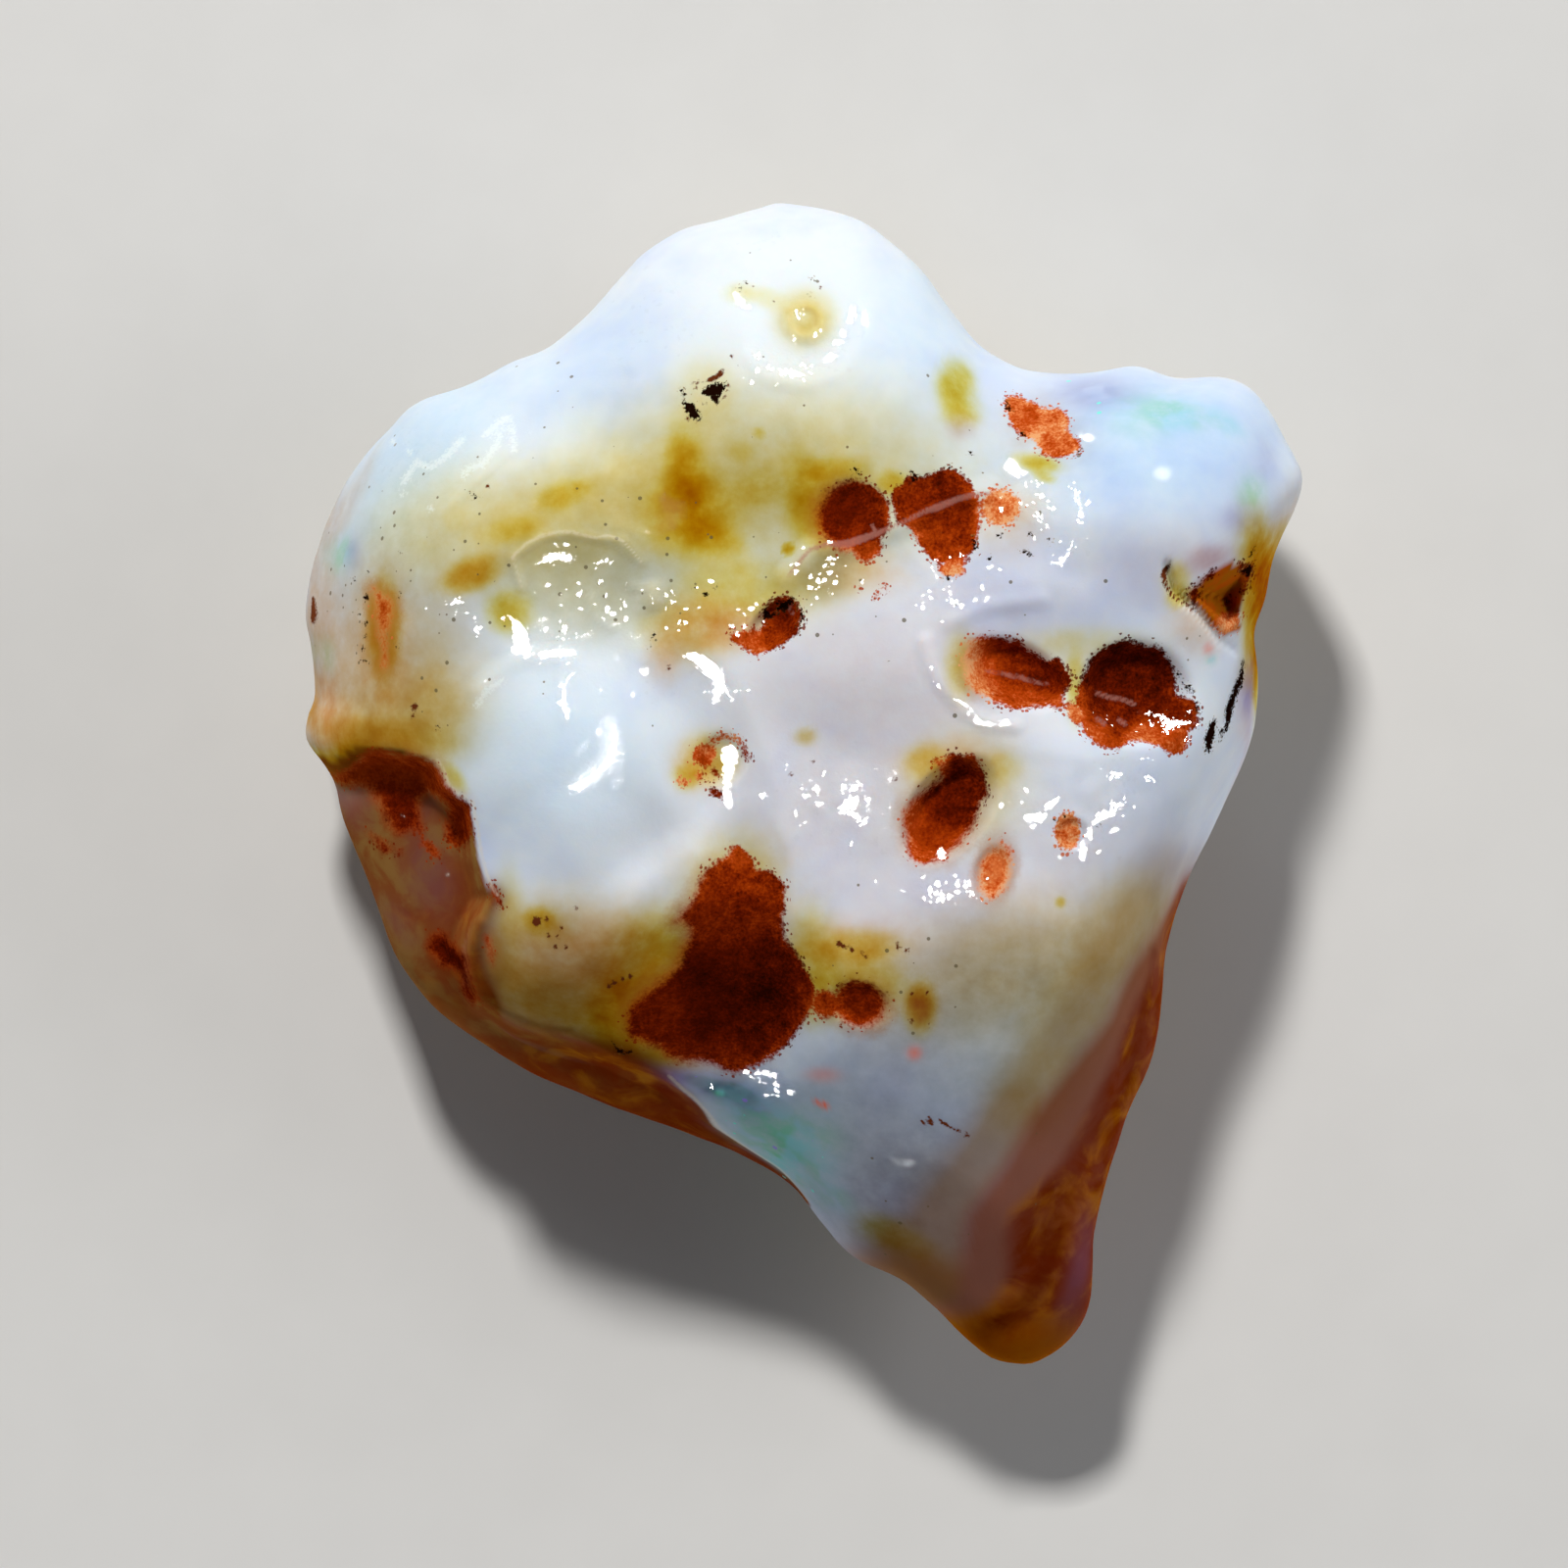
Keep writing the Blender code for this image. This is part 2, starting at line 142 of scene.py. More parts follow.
def face_level(x, y):
    """The planes of the face before any lump or pit."""
    level = np.full_like(x, FACE_HEIGHT)
    lower_start, lower_fall = LOWER_PLANE
    crown_start, crown_fall = CROWN_PLANE
    left_start, left_fall = LEFT_PLANE
    level = smooth_least(level, FACE_HEIGHT - lower_fall * (lower_start - y), PLANE_BLEND)
    level = smooth_least(level, FACE_HEIGHT - crown_fall * (y - crown_start), PLANE_BLEND)
    return smooth_least(level, FACE_HEIGHT - left_fall * (left_start - x), PLANE_BLEND)


# The worn lumps, hollows and pits
# Soft domes and hollows from the shape of the rock that the opal filled, and steep little pits
# where grains of ironstone sat until they weathered out.

# An ellipse seen from above: middle, two half-widths, the turn of the longer one in degrees,
# and how far it stands out. A negative height is a hollow.
Relief = namedtuple("Relief", "name x y long short turn height")

FACE_LUMPS = [
    ("crown dome", 0.2, 9.0, 5.2, 4.2, 0, 0.8),
    ("wing dome", 7.4, 6.2, 3.8, 2.8, -20, 0.8),
    ("hollow between crown and wing", 4.6, 7.2, 2.6, 1.7, -35, -0.5),
    ("left shoulder", -7.4, 5.4, 3.4, 2.8, 40, 0.45),
    ("valley under the crown", -0.6, 6.1, 5.2, 2.2, -4, -0.16),
    ("scoop", -4.4, 3.8, 2.6, 1.5, 0, -0.32),
    ("bump in the scoop", -3.1, 3.8, 0.5, 0.35, 60, 0.14),
    ("cheek beside the scoop", -8.0, 2.2, 2.2, 2.4, 0, 0.3),
    ("boss", -4.8, 0.4, 2.9, 2.5, -10, 0.7),
    ("lobe below the boss", -4.9, -2.7, 3.0, 2.1, 75, 0.6),
    ("dish right of the twins", 4.2, 5.5, 1.6, 1.5, 0, -0.15),
    ("gully beside the boss", -1.9, 0.6, 3.0, 1.2, -70, -0.4),
    ("swell in the middle", 1.4, 2.7, 2.9, 2.3, 10, 0.45),
    ("hollow round the two right pits", 5.4, 2.3, 3.3, 1.8, -6, -0.4),
    ("bowl of the great stain", -1.5, -4.4, 2.6, 2.2, 0, -0.6),
    ("gully above the bowl", -1.2, -2.2, 2.0, 1.1, 90, -0.4),
    ("belly", 2.8, -4.6, 4.2, 3.4, 20, 0.45),
    ("fold left of the gully", -3.4, -2.6, 2.2, 1.0, 50, 0.15),
    ("knob on the left edge", -9.6, 1.0, 0.9, 0.9, 0, 0.5),
    ("dip before the tip", 2.6, -9.2, 2.2, 1.4, -45, -0.3),
    ("knob at the tip", 5.0, -11.0, 1.4, 1.1, 0, 0.5),
]

FACE_PITS = [
    ("dish on the crown", 0.05, 9.4, 1.4, 1.35, 0, -0.16),
    ("nipple in the dish", 0.05, 9.4, 0.55, 0.55, 0, 0.16),
    ("crater of the nipple", 0.05, 9.42, 0.34, 0.34, 0, -0.12),
    ("left twin pit", 1.0, 5.5, 0.85, 0.8, 0, -0.12),
    ("right twin pit", 2.75, 5.35, 1.1, 0.9, -60, -0.14),
    ("small deep pit", -0.6, 3.26, 0.66, 0.42, 38, -0.3),
    ("long pit", 4.3, 2.25, 1.2, 0.7, -25, -0.45),
    ("round pit", 6.75, 1.85, 1.3, 1.15, -15, -0.6),
    ("tilted pit", 2.95, -0.5, 1.35, 0.85, 50, -0.6),
    ("drop beside the tilted pit", 3.8, -1.75, 0.6, 0.4, 70, -0.14),
    ("speck pit", 5.45, -1.0, 0.4, 0.35, 0, -0.14),
    ("pit beside the gully", -1.65, 0.5, 0.55, 0.6, 0, -0.2),
    ("pit on the belly", 1.15, -4.45, 0.7, 0.5, -10, -0.18),
]

BACK_LUMPS = [
    ("crown scoop", 1.5, 8.6, 4.0, 2.6, 20, -0.9),
    ("wing scoop", 7.2, 5.6, 2.8, 2.2, -40, -0.6),
    ("left ridge", -6.6, 3.4, 3.2, 1.5, 60, 0.35),
    ("left scoop", -6.8, -1.4, 2.8, 2.0, -30, -0.7),
    ("right scoop", 7.4, 0.6, 2.6, 1.8, 80, -0.5),
    ("shell-shaped chip", 2.6, -6.6, 3.4, 2.0, -60, -0.8),
    ("spur behind the tip", 4.4, -9.6, 2.4, 1.3, 80, 0.4),
    ("pit in the back", -1.8, 6.6, 1.0, 0.8, 15, -0.4),
    ("second pit in the back", 6.6, -1.8, 0.9, 0.7, -40, -0.4),
]

PIT_WALL_SHARE = 0.5
UNEVENNESS = [(5.0, 0.22), (2.1, 0.09), (0.9, 0.035)]  # wavelength and height of worn waves
FACE_CHANCE = 7.3  # where the random waves are read for the face, and negative for the back


def ellipse_distance(x, y, relief):
    """0 at the middle of an ellipse and 1 on its edge."""
    turn = np.radians(relief.turn)
    along = (x - relief.x) * np.cos(turn) + (y - relief.y) * np.sin(turn)
    across = (y - relief.y) * np.cos(turn) - (x - relief.x) * np.sin(turn)
    return np.hypot(along / relief.long, across / relief.short)


def lumps_height(x, y, lumps):
    """Soft domes and hollows, which fade out smoothly at their edges."""
    height = np.zeros_like(x)
    for lump in [Relief(*row) for row in lumps]:
        inside = np.clip(1.0 - ellipse_distance(x, y, lump) ** 2, 0.0, 1.0)
        height += lump.height * inside**2 * (1.5 - 0.5 * inside)
    return height


def pits_height(x, y, pits):
    """Pits with a level floor and a steep wall."""
    height = np.zeros_like(x)
    for pit in [Relief(*row) for row in pits]:
        inside = (1.0 - ellipse_distance(x, y, pit)) / PIT_WALL_SHARE
        height += pit.height * smooth_step(inside)
    return height


def chance_waves(x, y, z, wavelength):
    """Smooth random waves between about -1 and 1."""
    places = zip(x / wavelength, y / wavelength, z / wavelength)
    return np.array([noise.noise(Vector(place)) for place in places])


def unevenness(x, y, chance):
    height = np.zeros_like(x)
    for wavelength, rise in UNEVENNESS:
        height += rise * chance_waves(x, y, np.full_like(x, chance * wavelength), wavelength)
    return height


# The broken flank, the corner cavity and the right wall
# The lower left of the stone snapped off and left a sharp edge with a step beyond it. A corner
# chipped out under the wing, and the right side falls away as a leaning wall to the tip.

BROKEN_EDGE = [
    (-11.0, 0.5), (-9.7, 0.4), (-9.1, 0.75), (-8.3, 0.76), (-7.49, 0.5), (-7.35, 0.3),
    (-7.23, -0.04), (-7.03, -0.24), (-6.71, -0.4), (-6.69, -0.64), (-6.63, -0.9),
    (-6.55, -1.5), (-6.39, -2.06), (-6.25, -2.3), (-6.6, -2.85), (-6.77, -3.4), (-6.71, -3.8),
    (-6.5, -4.35), (-5.8, -4.8), (-4.8, -5.05), (-3.8, -5.45), (-2.73, -5.94), (-2.39, -6.26),
    (-2.07, -6.56), (-1.83, -6.78), (-1.49, -7.02), (-0.79, -7.6), (-0.63, -7.68),
    (-0.33, -8.04), (0.05, -8.42), (0.21, -8.62), (0.3, -9.6),
]
BEYOND_BROKEN_EDGE = [(-4.0, -12.0), (-12.0, -8.0)]
BROKEN_STEP = 1.7
BROKEN_STEP_AT_TIP = 0.9
BROKEN_RUN = 0.45  # how far out the step takes to go down
STEP_CHANGE = (-6.5, 5.0)  # the x where the step starts to get lower, and over how far

CORNER_CAVITY = [(7.7, 3.9), (9.1, 4.5), (9.0, 3.4), (8.6, 3.1)]
CORNER_DEPTH = 1.6
CORNER_RUN = 0.5  # how far in its walls reach the bottom

WALL_EDGE = [
    (9.6, 1.6), (7.9, -1.0), (6.6, -3.2), (4.9, -6.0), (4.1, -8.0), (3.5, -9.4), (2.8, -11.0),
    (2.2, -13.0),
]
BEYOND_WALL_EDGE = [(4.4, -14.0), (12.0, -14.0), (12.0, 1.6)]
WALL_SLOPE = 1.5
WALL_SHOULDER = 0.5  # how softly it starts


def distance_to_line(x, y, line):
    """How far each place is from a line of straight runs."""
    nearest = np.full_like(x, np.inf)
    for (ax, ay), (bx, by) in zip(line[:-1], line[1:]):
        run_x, run_y = bx - ax, by - ay
        along = ((x - ax) * run_x + (y - ay) * run_y) / (run_x**2 + run_y**2)
        along = np.clip(along, 0.0, 1.0)
        away = np.hypot(x - ax - along * run_x, y - ay - along * run_y)
        nearest = np.minimum(nearest, away)
    return nearest


def is_within(x, y, corners):
    """Whether each place lies inside a closed outline."""
    inside = np.zeros(x.shape, bool)
    for (ax, ay), (bx, by) in zip(corners, corners[1:] + corners[:1]):
        if ay != by:
            crosses = (ay > y) != (by > y)
            inside ^= crosses & (x < ax + (y - ay) * (bx - ax) / (by - ay))
    return inside


def beyond_edge(x, y, edge, closing):
    """Distance past an edge into the area closed by the closing points, and 0 before the edge."""
    return np.where(is_within(x, y, edge + closing), distance_to_line(x, y, edge), 0.0)


def broken_flank_drop(x, y):
    """The step down past the broken edge, deepest at the left and shallower towards the tip."""
    past = beyond_edge(x, y, BROKEN_EDGE, BEYOND_BROKEN_EDGE)
    start, run = STEP_CHANGE
    step = BROKEN_STEP + (BROKEN_STEP_AT_TIP - BROKEN_STEP) * smooth_step((x - start) / run)
    return step * smooth_step(past / BROKEN_RUN)


def right_wall_drop(x, y):
    past = beyond_edge(x, y, WALL_EDGE, BEYOND_WALL_EDGE)
    return WALL_SLOPE * (np.hypot(past, WALL_SHOULDER) - WALL_SHOULDER)


def corner_cavity_depth(x, y):
    inside = beyond_edge(x, y, CORNER_CAVITY + CORNER_CAVITY[:1], [])
    return CORNER_DEPTH * smooth_step(inside / CORNER_RUN)


# The thin crests, lips and cracks
# Thin raised seams of harder opal and the lips that hollows left between them, which catch the
# light, and a few open cracks.

# A line seen from above, with its height and its half-width. A negative height is a groove.
Seam = namedtuple("Seam", "name height width points")

SEAMS = [
    ("crest over the twin pits", 0.16, 0.4, [
        (-0.3, 4.2), (0.2, 4.75), (1.2, 4.95), (2.0, 5.3), (2.8, 5.7), (3.7, 5.95)]),
    ("rim of the scoop", 0.06, 0.16, [
        (-5.7, 4.0), (-5.89, 4.6), (-5.29, 5.02), (-4.69, 5.1), (-4.15, 4.98), (-3.69, 4.94),
        (-3.29, 4.5)]),
    ("lip round the long pit", 0.1, 0.26, [
        (2.5, 2.9), (2.6, 2.4), (2.85, 1.95), (3.3, 1.5), (3.7, 1.25), (4.3, 1.2)]),
    ("upper lip of the long pit", 0.06, 0.3, [(3.0, 3.3), (3.7, 3.6), (4.8, 3.75)]),
    ("edge of the boss", 0.06, 0.3, [(-6.6, 1.9), (-6.0, 2.4), (-5.6, 2.6), (-4.7, 2.6)]),
    ("fold beside the gully", 0.03, 0.5, [(-2.5, -1.3), (-3.5, -2.5), (-4.3, -3.4)]),
    ("upright seam by the boss", 0.03, 0.2, [
        (-4.85, 3.7), (-4.85, 2.8), (-4.9, 2.1), (-4.8, 1.3)]),
    ("hook in the scoop", 0.05, 0.18, [(-3.4, 4.0), (-3.1, 3.95), (-3.0, 3.65)]),
    ("second hook in the scoop", 0.05, 0.18, [(-4.3, 3.75), (-4.15, 3.4), (-3.9, 3.2)]),
    ("bright broken edge", 0.08, 0.14, [
        (-2.73, -5.94), (-2.23, -6.38), (-1.83, -6.78), (-1.19, -7.28), (-0.63, -7.68),
        (-0.33, -8.04), (0.21, -8.62)]),
    ("ridge inside the flank", 0.25, 0.3, [(-6.6, -2.8), (-6.75, -3.5), (-6.5, -4.3)]),
    ("crease under the lobe", -0.08, 0.12, [(-6.4, -4.4), (-5.2, -4.95), (-4.7, -4.95)]),
    ("crack from the corner", -0.25, 0.14, [
        (7.35, 4.4), (7.5, 3.9), (7.9, 3.6), (8.4, 3.0), (8.75, 2.75)]),
    ("open crack on the edge", -0.3, 0.12, [(8.95, 2.4), (8.7, 1.8), (8.55, 1.3)]),
    ("ledge on the left shoulder", 0.05, 0.2, [(-5.8, 7.5), (-6.0, 6.8), (-6.6, 6.2)]),
    ("second ledge on the shoulder", 0.04, 0.16, [(-6.4, 6.4), (-7.2, 5.6)]),
    ("soft arc on the crown", 0.05, 0.35, [(-3.5, 8.6), (-3.2, 8.2), (-3.5, 7.9)]),
    ("ring round the dish", 0.05, 0.3, [
        (-1.15, 8.7), (-0.7, 8.25), (0.0, 8.1), (0.8, 8.4), (1.2, 9.0), (1.25, 9.7)]),
]


def seams_height(x, y):
    height = np.zeros_like(x)
    for seam in [Seam(*row) for row in SEAMS]:
        away = distance_to_line(x, y, seam.points)
        height += seam.height * (1.0 - smooth_step(away / seam.width))
    return height


# The ripples
# In places the skin is wrinkled in fine ripples, left by the shape of the clay that it grew on.

# Zones of fine ripples: where, how far, how high, and the length of the ripples.
Ripples = namedtuple("Ripples", "name x y long short turn height wavelength")

RIPPLES = [
    ("over the middle", 0.6, -0.3, 1.6, 1.3, 0, 0.035, 0.33),
    ("below the round pit", 5.8, -0.3, 2.2, 1.2, 0, 0.035, 0.36),
    ("on the left shoulder", -7.6, 5.6, 2.2, 1.8, 40, 0.022, 0.45),
    ("beside the crown dish", -1.9, 9.2, 1.6, 1.8, 0, 0.02, 0.45),
    ("in the scoop", -4.4, 3.4, 2.0, 1.2, 0, 0.03, 0.4),
    ("right of the twin pits", 4.6, 5.8, 1.2, 1.5, 0, 0.03, 0.4),
    ("below the great stain", -0.8, -6.2, 1.2, 0.5, -30, 0.05, 0.25),
]


def ripples_height(x, y):
    height = np.zeros_like(x)
    for zone in [Ripples(*row) for row in RIPPLES]:
        share = 1.0 - smooth_step(ellipse_distance(x, y, zone))
        near = share > 0.0
        waves = chance_waves(x[near], y[near], np.zeros(near.sum()), zone.wavelength)
        height[near] += zone.height * share[near] * waves
    return height


# The stone's mesh
# The face and the back meet along the widest line, and the lowest part of the back is the flat
# patch that the stone lies on.

PATCH_ROWS = 128  # four-sided faces along each side of the six patches that make the ball
FACE_END = 132.0  # degrees from the top of the ball to the row that becomes the outline
SKIN_WAVES = [(1.7, 0.05), (0.7, 0.02)]  # wavelength and height of the skin's own unevenness
SKIN_BOTTOM, SKIN_RISE = 0.3, 0.7  # the height where it starts, and over how much it grows
SKIN_START, SKIN_GROWTH = 0.6, 0.3  # the same, as shares of the way out to the outline


def ball_of_six_patches():
    """A ball made of six square patches, with most of its rows above its outline."""
    ball = bmesh.new()
    bmesh.ops.create_cube(ball, size=2.0)
    bmesh.ops.subdivide_edges(ball, edges=ball.edges, cuts=PATCH_ROWS - 1, use_grid_fill=True)
    mesh = bpy.data.meshes.new("opal_stone")
    ball.to_mesh(mesh)
    ball.free()
    points = np.empty(len(mesh.vertices) * 3)
    mesh.vertices.foreach_get("co", points)
    points = np.tan(points.reshape(-1, 3) * np.pi / 4.0)
    points /= np.linalg.norm(points, axis=1)[:, None]
    return mesh, points


def face_height(x, y, share):
    level = face_level(x, y) + lumps_height(x, y, FACE_LUMPS) + pits_height(x, y, FACE_PITS)
    level += unevenness(x, y, FACE_CHANCE) + seams_height(x, y) - corner_cavity_depth(x, y)
    level += ripples_height(x, y)
    girth = girth_height(x, y)
    rise = level - broken_flank_drop(x, y) - right_wall_drop(x, y) - girth
    rise = -smooth_least(-rise, np.full_like(x, -LEAST_FACE), PLANE_BLEND)
    return girth + rise * np.sqrt(np.clip(1.0 - share**FACE_FULLNESS, 0.0, 1.0))


def back_height(x, y, share):
    tip_start, tip_rise = BACK_TIP_PLANE
    crown_start, crown_rise = BACK_CROWN_PLANE
    level = BACK_BELLY + BACK_CURVE * ((x - BACK_MIDDLE[0]) ** 2 + (y - BACK_MIDDLE[1]) ** 2)
    level += tip_rise * np.maximum(tip_start - y, 0.0) + crown_rise * np.maximum(y - crown_start, 0.0)
    level -= lumps_height(x, y, BACK_LUMPS) + unevenness(x, y, -FACE_CHANCE)
    girth = girth_height(x, y)
    height = girth - (girth - level) * np.sqrt(np.clip(1.0 - share**BACK_FULLNESS, 0.0, 1.0))
    return np.maximum(height, 0.0)


stone_mesh, ball = ball_of_six_patches()
rows_of_ball, rows_of_stone = np.radians([0.0, FACE_END, 180.0]), np.radians([0.0, 90.0, 180.0])
polar = np.interp(np.arccos(ball[:, 2]), rows_of_ball, rows_of_stone)
on_face = polar < np.pi / 2.0
share = np.sin(polar)
angle = np.arctan2(ball[:, 1], ball[:, 0])
soft = softened_reach(angle)
reach = share * (soft + (outline_reach(angle) - soft) * share**WAVE_FADE)
x = HEART[0] + reach * np.cos(angle)
y = HEART[1] + reach * np.sin(angle)
z = np.where(on_face, face_height(x, y, share), back_height(x, y, share))
stone_mesh.vertices.foreach_set("co", (np.column_stack((x, y, z)) * MM).ravel())
stone_mesh.shade_smooth()

# Above the flat patch, the skin is uneven in its own direction too, so that the walls are.
normals = np.empty(len(x) * 3)
stone_mesh.vertices.foreach_get("normal", normals)
skin = sum(rise * chance_waves(x, y, z, wavelength) for wavelength, rise in SKIN_WAVES)
skin *= smooth_step((z - SKIN_BOTTOM) / SKIN_RISE) * smooth_step((share - SKIN_START) / SKIN_GROWTH)
places = np.column_stack((x, y, z)) + normals.reshape(-1, 3) * skin[:, None]
stone_mesh.vertices.foreach_set("co", (places * MM).ravel())


# The glints on the wet skin
# The wet skin has small flattened places that lean towards the crown. Each one throws back the
# lamp as a hard bright spot of its own shape.

FAR = 0.6  # millimetres outside a marking beyond which its distance isn't kept
NO_LENGTH = 1e-9  # lets a single bead stand for a chain without length

